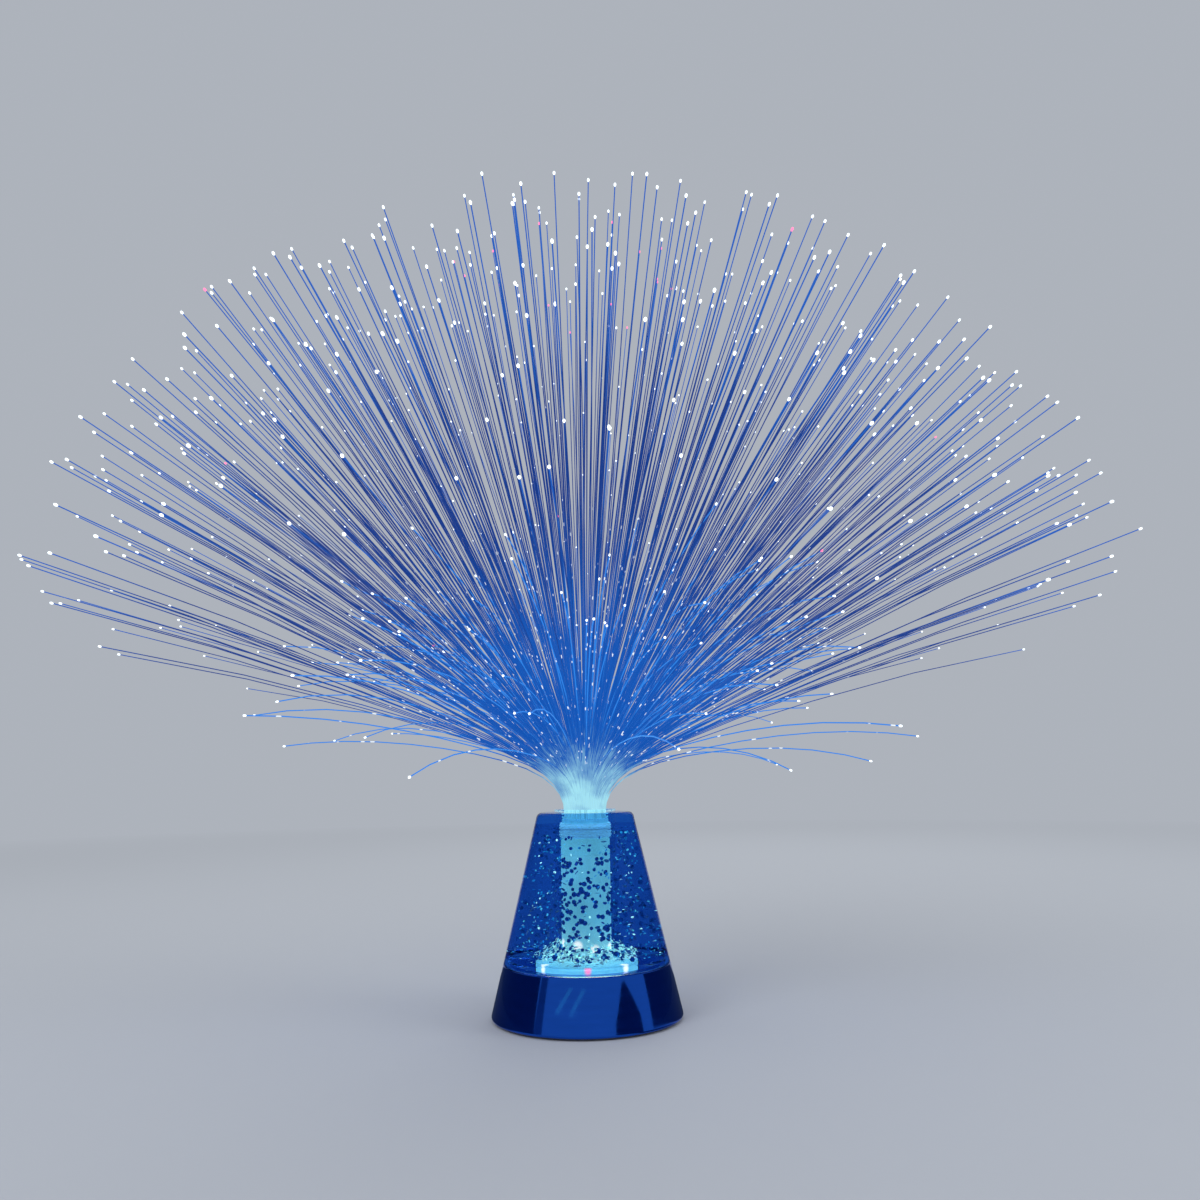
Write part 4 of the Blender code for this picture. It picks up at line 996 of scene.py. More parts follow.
class LAMP_OT_base_shell(LampOperator):
    """Turn the chromed base with its deck and the posts inside"""

    bl_idname = "lamp.base_shell"
    bl_label = "Base Shell"

    def build(self, scene):
        base = scene.lamp_base
        foot, rim = low("base_shell").z, high("base_shell").z
        deck_bottom = low("cone_floor").z - FIT_GAP - base.deck
        deck_top = deck_bottom + base.deck
        hole = radius_of("led_board") + FIT_GAP
        wall = lean_width(base.skirt_wall)
        bm = lathe([
            (skin_radius(rim), rim), (skin_radius(foot), foot),
            (skin_radius(foot) - wall, foot), (skin_radius(deck_bottom) - wall, deck_bottom),
            (hole, deck_bottom), (hole, deck_top), (skin_radius(deck_top) - wall, deck_top),
            (skin_radius(rim) - wall, rim),
        ], FINE_TURN)
        soften(bm, base.foot_radius, 5, lambda p: p.z < foot + base.rim_radius
               and p.xy.length > skin_radius(foot) - wall / 2)
        soften(bm, base.rim_radius, 3, lambda p: p.z > rim - base.rim_radius
               and p.xy.length > skin_radius(rim) - wall * 1.5)
        for screw in range(1, 5):
            place = middle_of(f"housing_screw_{screw}")
            join_shape(bm, self.post(place, low("switch_body").z, deck_bottom))
        add_piece("chromed_base", bm, ["chromed_skin"], "base_shell")

    def post(self, place, bottom, top):
        """A hollow post that a housing screw goes into."""
        screw_radius = radius_of("housing_screw_1")
        outer = screw_radius * 1.4
        bore = screw_radius * 0.52
        return stand(lathe([(outer, top), (outer, bottom), (bore, bottom), (bore, top)],
                           SMALL_TURN), place)


class LAMP_OT_underside(LampOperator):
    """Refine the plate and the battery door, with the door's grip ribs"""

    bl_idname = "lamp.underside"
    bl_label = "Plate and Door"

    def build(self, scene):
        base = scene.lamp_base
        add_piece("moulded_plate", refined("bottom_plate", base.plate_edge),
                  ["black_moulding"], "bottom_plate")
        door = refined("battery_door", base.plate_edge)
        bottom = low("battery_door").z
        half_length = high("battery_door").y * 0.55
        start = low("battery_door").x + 4 * base.rib_pitch
        for rib in range(base.rib_count):
            x = start + rib * base.rib_pitch
            slab(door, (x, -half_length, bottom - base.rib_height),
                 (x + base.rib_width, half_length, bottom + base.rib_height),
                 base.rib_height * 0.6, 3)
        add_piece("ribbed_door", door, ["door_moulding"], "battery_door")


class LAMP_OT_feet(LampOperator):
    """Turn the four rubber feet"""

    bl_idname = "lamp.feet"
    bl_label = "Rubber Feet"

    def build(self, scene):
        for index in range(1, 5):
            node = f"rubber_foot_{index}"
            radius, top, place = radius_of(node), high(node).z, middle_of(node)
            bm = lathe([(0.0, top), (radius, top), (radius, 0.0), (radius * 0.6, 0.0),
                        (radius * 0.5, top * 0.16), (0.0, top * 0.16)], SMALL_TURN, ring=False)
            soften(bm, top * 0.22, 3, lambda p: p.xy.length > radius * 0.9)
            add_piece(f"rubber_pad_{index}", stand(bm, place), ["foot_rubber"], node)


class LAMP_OT_screws(LampOperator):
    """Turn the five pan head screws and cut their slots"""

    bl_idname = "lamp.screws"
    bl_label = "Screws"

    def build(self, scene):
        for index in range(1, 5):
            self.screw(f"pan_screw_{index}", f"housing_screw_{index}", 30.0 + 47.0 * index)
        self.screw("captive_screw", "door_screw", 0.0)

    def screw(self, name, node, slot_degrees):
        """A screw with its head down, its thread as rings and its slot turned its own way."""
        foot, top, radius = extent(node)
        head, shank, pitch = radius / 2, radius * 0.45, radius * 0.3
        outline = [(0.0, top), (shank * 0.3, top)]
        turns = int((top - foot - head) / pitch) - 2
        for index in range(turns):
            height = top - (index + 1) * pitch
            outline += [(shank * 0.8, height + pitch * 0.35), (shank, height)]
        outline += [(shank, foot + head), (radius, foot + head), (radius, foot + head * 0.45),
                    (radius * 0.75, foot), (0.0, foot)]
        bm = lathe(outline, SMALL_TURN, ring=False)
        slot = bmesh.new()
        slab(slot, (-radius * 2, -radius * 0.13, foot - head),
             (radius * 2, radius * 0.13, foot + head * 0.42))
        bmesh.ops.rotate(slot, matrix=Matrix.Rotation(math.radians(slot_degrees), 3, "Z"),
                         verts=slot.verts)
        add_piece(name, stand(carved(bm, [slot]), middle_of(node)), ["nickel_steel"], node)


class LAMP_OT_switch(LampOperator):
    """Refine the slide switch and give its lever grip ridges"""

    bl_idname = "lamp.switch"
    bl_label = "Slide Switch"

    def build(self, scene):
        edge = scene.lamp_base.plate_edge
        add_piece("switch_case", refined("switch_body", edge), ["black_moulding"], "switch_body")
        lever = refined("power_switch", edge * 0.6)
        bottom, place = low("power_switch").z, middle_of("power_switch")
        stem = (high("power_switch").x - low("power_switch").x) * 0.27
        for side in (-1, 0, 1):
            x = place.x + side * stem * 0.62
            slab(lever, (x - stem * 0.14, place.y - stem * 0.85, bottom - edge),
                 (x + stem * 0.14, place.y + stem * 0.85, bottom + edge), edge * 0.4)
        add_piece("switch_lever", lever, ["switch_moulding"], "power_switch")


class LAMP_OT_cells(LampOperator):
    """Turn the three cells, with their film, shoulder and steel ends"""

    bl_idname = "lamp.cells"
    bl_label = "Cells"

    def build(self, scene):
        for index in range(1, CELL_COUNT + 1):
            node = f"battery_{index}"
            length = high(node).x - low(node).x
            radius = (high(node).y - low(node).y) / 2
            bm = lathe(self.outline(length, radius), SMALL_TURN * 2, ring=False)
            soften(bm, radius * 0.06, 2)
            middle, side = self.place(node, bm)
            piece = add_piece(f"cell_{index}", bm, ["cell_jacket", "cell_band", "nickel_steel"],
                              node)
            rim = radius * 0.9
            paint(piece, 1, lambda p: (p.x - middle.x) * side > length * 0.21)
            paint(piece, 2, lambda p: (p - middle).yz.length < rim
                  and abs(p.x - middle.x) > length * 0.45)

    def outline(self, length, radius):
        """Half of a cell's section, from its nipple to its flat end."""
        half = length / 2
        nipple = radius * 0.38
        step = length * 0.02
        return [(0.0, half), (nipple * 0.85, half), (nipple, half - step * 0.35),
                (nipple, half - step), (radius * 0.8, half - step),
                (radius * 0.86, half - step * 0.8), (radius, half - step * 1.4),
                (radius, step * 0.8 - half), (radius * 0.88, -half), (radius * 0.8, -half),
                (radius * 0.74, step * 0.3 - half), (0.0, step * 0.3 - half)]

    def place(self, node, bm):
        """Lays the cell along X in its row; the spring's side shows which way it points."""
        middle = middle_of(node)
        spring = middle_of(node.replace("battery", "contact_spring"))
        side = 1 if spring.x < middle.x else -1
        bmesh.ops.rotate(bm, matrix=Matrix.Rotation(side * math.pi / 2, 3, "Y"), verts=bm.verts)
        bmesh.ops.translate(bm, vec=middle, verts=bm.verts)
        return middle, side


class LAMP_OT_contacts(LampOperator):
    """Wind the contact springs and finish the plates and wires"""

    bl_idname = "lamp.contacts"
    bl_label = "Contacts and Wires"

    def build(self, scene):
        for index in range(1, CELL_COUNT + 1):
            self.spring(index)
        for node in ("positive_contact", "negative_contact", "bridge_contact_1",
                     "bridge_contact_2"):
            dress(node, "nickel_steel")
        for node in ("wire_positive", "wire_switch_in"):
            dress(node, "red_sheath")
        for node in ("wire_negative", "wire_switch_out"):
            dress(node, "black_sheath")

    def spring(self, index):
        """A spring whose coil narrows towards its cell."""
        node = f"contact_spring_{index}"
        start, end, middle = low(node), high(node), middle_of(node)
        wire = 0.00025
        turns, points = 3, 28
        wide = (end.z - start.z) / 2 - wire
        narrow = wide * 0.62
        cell = middle_of(node.replace("contact_spring", "battery"))
        side = 1 if middle.x < cell.x else -1
        first = (start.x if side > 0 else end.x) + side * wire
        length = end.x - start.x - 2 * wire
        path = []
        for step in range(turns * points + 1):
            share = step / (turns * points)
            angle = 2 * math.pi * turns * share
            radius = wide + (narrow - wide) * share
            path.append((first + side * length * share, cell.y + radius * math.cos(angle),
                         cell.z + radius * math.sin(angle)))
        add_piece(f"cell_spring_{index}", tube_shape([path], wire, 2), ["nickel_steel"], node)


class LAMP_OT_light_engine(LampOperator):
    """Turn the LEDs and the lit disc, and finish the board and its parts"""

    bl_idname = "lamp.light_engine"
    bl_label = "Light Engine"

    def build(self, scene):
        titles = ("led_blue", "led_green", "led_cyan", "led_red")
        for index, title in enumerate(titles, 1):
            self.lens(index, title)
        self.disc()
        dress("led_board", "solder_mask")
        dress("driver_chip", "chip_moulding")
        dress("resistor", "chip_moulding")

    def lens(self, index, title):
        """An LED: a domed lens on its flange."""
        node = f"led_{index}"
        foot, top, flange = extent(node)
        radius = flange * 0.86
        shoulder = top - radius
        outline = [(0.0, top)]
        for step in range(1, 9):
            angle = math.pi / 2 * (1 - step / 8)
            outline.append((radius * math.cos(angle), shoulder + radius * math.sin(angle)))
        outline += [(radius, foot + flange * 0.28), (flange, foot + flange * 0.28),
                    (flange, foot), (0.0, foot)]
        bm = stand(lathe(outline, SMALL_TURN, ring=False), middle_of(node))
        add_piece(f"led_lens_{index}", bm, [title], node)

    def disc(self):
        """The lit disc, a shallow cup upside down with a hole for each LED."""
        foot, top, radius = extent("diffuser_cup")
        wall = 0.001
        ceiling = top - 0.0008
        bm = lathe([(0.0, top), (radius, top), (radius, foot), (radius - wall, foot),
                    (radius - wall, ceiling), (0.0, ceiling)], RING_TURN, ring=False)
        soften(bm, FIT_GAP, 3, lambda p: p.z > top - FIT_GAP)
        holes = []
        for index in range(1, LED_COUNT + 1):
            place = middle_of(f"led_{index}")
            bore = radius_of("led_1") * 0.96
            hole = bmesh.new()
            bmesh.ops.create_cone(hole, cap_ends=True, segments=SMALL_TURN, depth=radius,
                                  radius1=bore, radius2=bore,
                                  matrix=Matrix.Translation((place.x, place.y, top)))
            holes.append(hole)
        add_piece("lit_disc", carved(bm, holes), ["frosted_disc"], "diffuser_cup")


class LAMP_OT_cone(LampOperator):
    """Turn the clear cone, its floor and seal, and the liquid in it"""

    bl_idname = "lamp.cone"
    bl_label = "Clear Cone"

    def build(self, scene):
        cone = scene.lamp_cone
        foot, top = low("glitter_cone").z, high("glitter_cone").z
        wall = lean_width(cone.wall)
        ceiling = top - cone.top
        hole = sleeve_radius() + FIT_GAP
        bm = lathe([
            (skin_radius(top), top), (skin_radius(foot), foot), (skin_radius(foot) - wall, foot),
            (skin_radius(ceiling) - wall, ceiling), (hole, ceiling), (hole, top),
        ], FINE_TURN)
        soften(bm, cone.edge_radius, 6,
               lambda p: p.z > top - FIT_GAP and p.xy.length > skin_radius(top) - FIT_GAP)
        soften(bm, FIT_GAP, 2, lambda p: p.z < foot + FIT_GAP)
        soften(bm, cone.edge_radius / 2, 4, lambda p: abs(p.z - ceiling) < FIT_GAP
               and p.xy.length > hole + wall)
        piece = add_piece("clear_cone", bm, ["clear_acrylic", "wetted_acrylic"], "glitter_cone")
        paint(piece, 1, lambda p: p.z < ceiling + FIT_GAP
              and p.xy.length < skin_radius(p.z) - wall * 0.6)
        self.floor()
        self.liquid(wall)

    def floor(self):
        """The floor with its rim below, and the seal ring in its seat round the column."""
        foot, top, radius = extent("cone_floor")
        thick, rim = 0.0023, 0.0032
        hole = radius_of("light_column") + FIT_GAP
        seat = radius_of("column_seal") + FIT_GAP
        seal_foot = low("column_seal").z
        bm = lathe([
            (radius, top), (radius, foot), (radius - rim, foot), (radius - rim, top - thick),
            (hole, top - thick), (hole, seal_foot - FIT_GAP), (seat, seal_foot - FIT_GAP),
            (seat, top),
        ], FINE_TURN)
        soften(bm, FIT_GAP, 2)
        add_piece("clear_floor", bm, ["floor_acrylic"], "cone_floor")
        seal = lathe([(seat - FIT_GAP, top), (seat - FIT_GAP, seal_foot), (hole, seal_foot),
                      (hole, top)], RING_TURN)
        soften(seal, FIT_GAP * 0.8, 3)
        add_piece("seal_ring", seal, ["seal_rubber"], "column_seal")

    def liquid(self, wall):
        """The liquid climbs a little up the wall and the sleeve at its surface."""
        foot, top = low("glitter_liquid").z, high("glitter_liquid").z
        column = radius_of("light_column") + FIT_GAP
        sleeve = sleeve_radius() + FIT_GAP
        step = low("socket_sleeve").z - FIT_GAP
        dip = 0.0006
        outer = skin_radius(top) - wall - FIT_GAP
        bm = lathe([
            (outer, top), (skin_radius(foot) - wall - FIT_GAP, foot), (column, foot),
            (column, step), (sleeve, step), (sleeve, top), (sleeve + 2 * dip, top - dip),
            (outer - 2 * dip, top - dip),
        ], FINE_TURN)
        piece = add_piece("blue_liquid", bm, ["blue_liquid", "inner_liquid"], "glitter_liquid")
        near = sleeve + FIT_GAP
        paint(piece, 1, lambda p: p.xy.length < near or p.z < foot + FIT_GAP)


class LAMP_OT_glitter(LampOperator):
    """Scatter six-sided flakes through the liquid, on its floor and along its wall"""

    bl_idname = "lamp.glitter"
    bl_label = "Glitter"

    def build(self, scene):
        cone = scene.lamp_cone
        draw = random.Random(cone.seed)
        self.cone, self.draw, self.bm = cone, draw, bmesh.new()
        wall = lean_width(cone.wall)
        margin = cone.flake_radius + FIT_GAP
        bed = low("glitter_liquid").z + cone.flake_radius * 0.3
        foot, top = low("glitter_liquid").z + margin, high("glitter_liquid").z - 2 * margin
        step = low("socket_sleeve").z - margin
        inner = radius_of("light_column") + FIT_GAP + margin
        sleeve = radius_of("socket_sleeve") + margin
        far = skin_radius(foot) - wall - margin
        for index in range(cone.flake_count):
            height = foot + (top - foot) * draw.random() ** 1.35
            near = sleeve if height > step else inner
            edge = skin_radius(height) - wall - margin
            radius = math.sqrt(near**2 + (edge**2 - near**2) * draw.random())
            axis = Vector((draw.gauss(0, 1), draw.gauss(0, 1), draw.gauss(0, 1)))
            tilt = Matrix.Rotation(draw.uniform(0, math.pi), 4, axis.normalized())
            self.flake(radius, height, tilt, FREE_SHARES)
        for index in range(cone.column_count):
            radius = inner + cone.flake_radius * draw.uniform(-0.25, 1.2)
            tilt = Matrix.Rotation(math.pi / 2 + draw.gauss(0, 0.3), 4, "Y")
            height = draw.uniform(foot + cone.heap_height, step)
            self.flake(radius, height, tilt, COLUMN_SHARES)
        for index in range(cone.heap_count):
            share = draw.random() ** 1.15
            radius = inner + (cone.heap_radius - inner) * share
            tilt = Matrix.Rotation(math.pi / 2 * draw.random(), 4, "Y")
            self.flake(radius, bed + cone.heap_height * (1 - share) * draw.random(), tilt,
                       HEAP_SHARES)
        for index in range(cone.settled_count):
            radius = inner + (far - inner) * draw.random()
            tilt = Matrix.Rotation(draw.gauss(0, 0.2), 4, "X")
            self.flake(radius, bed + FIT_GAP, tilt, FLOOR_SHARES)
        for index in range(cone.wall_count):
            height = draw.uniform(foot, top)
            tilt = Matrix.Rotation(math.pi / 2 - math.atan(base_lean()), 4, "Y")
            self.flake(skin_radius(height) - wall - 2 * FIT_GAP, height, tilt, WALL_SHARES, 0.8)
        glitter = add_piece("glitter_flakes", self.bm, [title for title, _ in FLAKE_KINDS],
                            "glitter_liquid")
        glitter.data.shade_flat()

    def flake(self, radius, height, tilt, shares, scale=1.0):
        """One six-sided plate, turned its own way at a place round the axis."""
        draw = self.draw
        kind = draw.choices(range(len(FLAKE_KINDS)), shares)[0]
        radius_share = scale * FLAKE_KINDS[kind][1]
        across = self.cone.flake_radius * radius_share * draw.uniform(0.6, 1.0)
        spin = Matrix.Rotation(draw.uniform(0, 2 * math.pi), 4, "Z")
        around = Matrix.Rotation(draw.uniform(0, 2 * math.pi), 4, "Z")
        place = around @ Matrix.Translation((radius, 0.0, height)) @ tilt @ spin
        made = bmesh.ops.create_cone(self.bm, cap_ends=True, segments=6, radius1=across,
                                     radius2=across, depth=self.cone.flake_thickness,
                                     matrix=place)
        for face in {f for v in made["verts"] for f in v.link_faces}:
            face.material_index = kind


class LAMP_OT_column(LampOperator):
    """Turn the light column and the clear sleeve round its head"""

    bl_idname = "lamp.column"
    bl_label = "Light Column"

    def build(self, scene):
        cone = scene.lamp_cone
        foot, top, radius = extent("light_column")
        well_top = foot + cone.well_depth
        bm = lathe([(0.0, top), (radius, top), (radius, foot), (cone.well_radius, foot),
                    (cone.well_radius, well_top), (0.0, well_top)], RING_TURN, ring=False)
        soften(bm, FIT_GAP, 3)
        add_piece("glowing_column", bm, ["light_column"], "light_column")
        self.sleeve(radius + FIT_GAP, top)

    def sleeve(self, hold, step):
        """The sleeve holds the column's head below a step and takes the bundle above it."""
        foot, top, flange = extent("socket_sleeve")
        seat = high("glitter_cone").z + FIT_GAP
        tube = sleeve_radius()
        bore = min(v.co.x for v in frame["nodes"]["socket_sleeve"].data.vertices
                   if v.co.z > seat and abs(v.co.y) < FIT_GAP and v.co.x > 0)
        bm = lathe([(flange, top), (flange, seat), (tube, seat), (tube, foot), (hold, foot),
                    (hold, step), (bore, step), (bore, top)], RING_TURN)
        soften(bm, FIT_GAP, 3)
        add_piece("clear_sleeve", bm, ["sleeve_acrylic"], "socket_sleeve")


class LAMP_OT_bundle_holders(LampOperator):
    """Turn the scored grip ring and the ferrule inside it"""

    bl_idname = "lamp.bundle_holders"
    bl_label = "Grip Ring and Ferrule"

    def build(self, scene):
        foot, top, outer = extent("grip_ring")
        rib, wall, rib_count = 0.0003, 0.0005, 4
        inner = outer - rib - wall
        pitch = (top - foot) / (2 * rib_count + 1)
        outline = [(outer - rib, top)]
        for index in range(rib_count):
            height = top - (2 * index + 1) * pitch
            outline += [(outer - rib, height), (outer, height - pitch / 4),
                        (outer, height - 3 * pitch / 4), (outer - rib, height - pitch)]
        outline += [(outer - rib, foot), (inner, foot), (inner, top)]
        add_piece("scored_grip", lathe(outline, RING_TURN), ["silvered_grip"], "grip_ring")
        foot, top, outer = extent("ferrule")
        inner = outer - FERRULE_WALL
        bm = lathe([(outer, top), (outer, foot), (inner, foot), (inner, top)], RING_TURN)
        soften(bm, FERRULE_WALL * 0.24, 2)
        add_piece("bundle_ferrule", bm, ["milky_ferrule"], "ferrule")


class LAMP_OT_spray(LampOperator):
    """Grow the fibres of the spray, one piece for each sector of the bundle"""

    bl_idname = "lamp.spray"
    bl_label = "Fibre Spray"

    def build(self, scene):
        spray = scene.lamp_spray
        self.spray = spray
        self.draw = random.Random(spray.seed)
        self.core = bundle_radius()
        self.reach = max(high(f"fibre_sector_{n}").x for n in range(1, SECTOR_COUNT + 1))
        self.ceiling = high("fibre_sector_1").z
        bunches = self.directions(spray.bunch_count, BUNCH_JITTER)
        sectors = [self.set_fibres(sector) for sector in range(SECTOR_COUNT)]
        free_count = spray.fibre_count - sum(map(len, sectors))
        for lean, around, share in self.directions(free_count, FIBRE_JITTER):
            sector = int(around % (2 * math.pi) / (2 * math.pi) * SECTOR_COUNT)
            sectors[sector].append(self.free_fibre(lean, around, share, bunches))
        for sector, fibres in enumerate(sectors, 1):
            self.grow(sector, fibres)

    def set_fibres(self, sector):
        """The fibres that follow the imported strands, as (places, whether it is short)."""
        spray = self.spray
        width = 2 * math.pi / SECTOR_COUNT
        found = []
        for ring, amount in enumerate(LONG_RINGS, 1):
            for index in range(amount):
                stray = self.stray_share(index)
                lean = (ring + STRAY_SHARE * stray) * spray.ring_lean
                spread = SPREAD_SHARES[(index + ring - 1) % len(SPREAD_SHARES)]
                around = (sector + (index + 0.5) / amount) * width
                trace = self.long_trace(amount * spray.ring_step, lean, spread)
                found.append((self.points(trace, around, around, 0.0, LONG_STEPS), False))
        for index in range(SHORT_RING):
            spread = SPREAD_SHARES[index % len(SPREAD_SHARES)]
            around = (sector + (index + 0.5) / SHORT_RING) * width
            stray = self.stray_share(index)
            lift = SHORT_LIFTS[(index + 2 * sector) % len(SHORT_LIFTS)]
            trace = self.trace(SHORT_RING * spray.ring_step,
                               spray.short_length * (1 - 2 * spread),
                               spray.short_lean - lift + SHORT_LEAN_STRAY * stray,
                               spray.short_droop + 0.7 * lift + SHORT_DROOP_STRAY * stray,
                               spray.long_bend)
            found.append((self.points(trace, around, around, 0.0, SHORT_STEPS), True))
        return found

    def stray_share(self, index):
        """A scatter from -0.5 to 0.5 that never repeats from one fibre to the next."""
        return (index * GOLDEN_SHARE + 0.5) % 1.0 - 0.5

    def long_trace(self, start, lean, spread, bend_share=1.0):
        """A long fibre. The further it leans, the more it sags and is trimmed."""
        spray = self.spray
        trim = OUTER_TRIM_SHARE * math.sin(lean) ** 4
        droop = spray.long_droop * math.sin(lean) ** 2
        return self.trace(start, spray.long_length * (1 - trim - spread), lean, droop,
                          spray.long_bend * bend_share)

    def directions(self, amount, jitter):
        """(lean, angle round the axis, share of the bundle's area) for evenly packed fibres:
        even over the dome up to the inner lean, thinning from there to the outer one."""
        spray = self.spray
        golden = math.pi * (3 - math.sqrt(5))
        found = []
        for index in range(amount):
            share = (index + 0.5) / amount
            if share < EVEN_SHARE:
                lean = math.acos(1 - share / EVEN_SHARE * (1 - math.cos(spray.inner_lean)))
            else:
                past = (share - EVEN_SHARE) / (1 - EVEN_SHARE)
                lean = spray.inner_lean + (spray.outer_lean - spray.inner_lean) * past
            around = (index * golden) % (2 * math.pi)
            lean += self.draw.gauss(0, jitter)
            around += self.draw.gauss(0, jitter / max(math.sin(lean), 0.3))
            found.append((abs(lean), around, share))
        return found

    def free_fibre(self, lean, around, share, bunches):
        """A fibre between the set ones: (places, whether it is short)."""
        spray, draw = self.spray, self.draw
        start_around = around
        start = self.core * math.sqrt(share)
        short = draw.random() < SHORT_SHARE + RIM_SHORT_SHARE * share**2
        if short:
            length = spray.short_length * draw.uniform(0.62, 1.02)
            lean = lean * draw.uniform(0.85, 1.15)
            droop = spray.short_droop * draw.uniform(0.5, 2.2) * math.sin(lean)
            trace = self.trace(start, length, lean, droop,
                               spray.short_bend * draw.uniform(0.8, 1.4))
            sway = draw.gauss(0, SHORT_SWAY_SHARE) * length
        else:
            lean, around = self.gathered(lean, around, bunches, draw.uniform(0.0, 0.5))
            spread = UNEVEN_CUT_SHARE * draw.random() ** 2
            bend_share = draw.uniform(0.85, 1.2)
            trace = self.long_trace(start, lean, spread, bend_share)
            over = max(trace[-1][0] / self.reach, (trace[-1][1] - mouth_height())
                       / (self.ceiling - mouth_height()))
            if over > REACH_SHARE:
                trace = self.long_trace(start, lean, spread + over - REACH_SHARE, bend_share)
            sway = draw.gauss(0, LONG_SWAY_SHARE) * spray.long_length
        steps = SHORT_STEPS if short else LONG_STEPS
        return self.points(trace, start_around, around, sway, steps), short

    def gathered(self, lean, around, bunches, pull):
        """The direction drawn towards the nearest bunch."""
        def vector(a, b):
            return Vector((math.sin(a) * math.cos(b), math.sin(a) * math.sin(b), math.cos(a)))

        own = vector(lean, around)
        nearest = max((vector(a, b) for a, b, _ in bunches), key=own.dot)
        drawn = own.lerp(nearest, pull).normalized()
        return math.acos(max(-1.0, min(1.0, drawn.z))), math.atan2(drawn.y, drawn.x)

    def trace(self, start, length, lean, droop, bend):
        """(distance from the axis, height, share of the length) at even steps."""
        step = length / TRACE_COUNT
        radius, height = start, mouth_height()
        found = [(radius, height, 0.0)]
        for index in range(TRACE_COUNT):
            along = (index + 0.5) / TRACE_COUNT
            angle = lean * (1 - math.exp(-along * length / bend)) + droop * along**2
            radius += step * math.sin(angle)
            height += step * math.cos(angle)
            found.append((radius, height, (index + 1) / TRACE_COUNT))
        return found

    def points(self, trace, start_around, around, sway, steps):
        """Places in space. The fibre turns from its seat in the bundle to its own plane."""
        turned = (around - start_around + math.pi) % (2 * math.pi) - math.pi
        seat = min(trace[0][0], self.core * 0.97)
        first = low("ferrule").z + FIBRE_SEAT
        places = [Vector((seat * math.cos(start_around), seat * math.sin(start_around), first))]
        for index in steps:
            radius, height, share = trace[index]
            angle = start_around + turned * min(1.0, share * 3)
            side = Vector((-math.sin(angle), math.cos(angle), 0.0)) * sway * share**2
            places.append(Vector((radius * math.cos(angle), radius * math.sin(angle), height))
                          + side)
        return places

    def grow(self, sector, fibres):
        """One sector: its long and short fibres, and a bead at the end of each."""
        spray = self.spray
        wide = spray.tip_radius / spray.fibre_radius
        beads, odd_beads = [], []
        for index, (places, _) in enumerate(fibres):
            tip = places[-1].copy()
            along = (tip - places[-2]).normalized()
            bead = []
            for share, width in ((1.0, 1.0), (0.72, wide * 0.92), (0.3, wide), (0.0, wide * 0.45)):
                bead.append((*(tip - along * spray.tip_length * share), width))
            places[-1] = tip - along * spray.tip_length * 0.8
            (odd_beads if index % ODD_TIP_STEP == 0 else beads).append(bead)
        bm = tube_shape([places for places, short in fibres if not short],
                        spray.fibre_radius, 0)
        parts = ((1, [places for places, short in fibres if short], spray.short_radius, 0),
                 (2, beads, spray.fibre_radius, 1), (3, odd_beads, spray.fibre_radius, 1))
        for kind, paths, radius, sides_level in parts:
            before = len(bm.faces)
            join_shape(bm, tube_shape(paths, radius, sides_level))
            bm.faces.ensure_lookup_table()
            for face in bm.faces[before:]:
                face.material_index = kind
        add_piece(f"fibre_fan_{sector}", bm, ["long_fibre", "short_fibre", "fibre_tip",
                                              "odd_tip"], f"fibre_sector_{sector}")


class LAMP_OT_bundle(LampOperator):
    """Turn the potted bundle that the fibres grow from"""

    bl_idname = "lamp.bundle"
    bl_label = "Potted Bundle"

    def build(self, scene):
        core, mouth = bundle_radius(), mouth_height()
        foot, top = low("ferrule").z, high("ferrule").z
        collar = radius_of("light_column") - FIT_GAP
        bm = lathe([(0.0, mouth - FIT_GAP), (collar * 0.85, mouth - FIT_GAP),
                    (collar, mouth - 2 * FIT_GAP), (collar, top + 2 * FIT_GAP),
                    (core, top + FIT_GAP), (core, foot), (0.0, foot)], RING_TURN, ring=False)
        add_piece("potted_bundle", bm, ["potted_bundle"], "fibre_sector_1")


# Stage


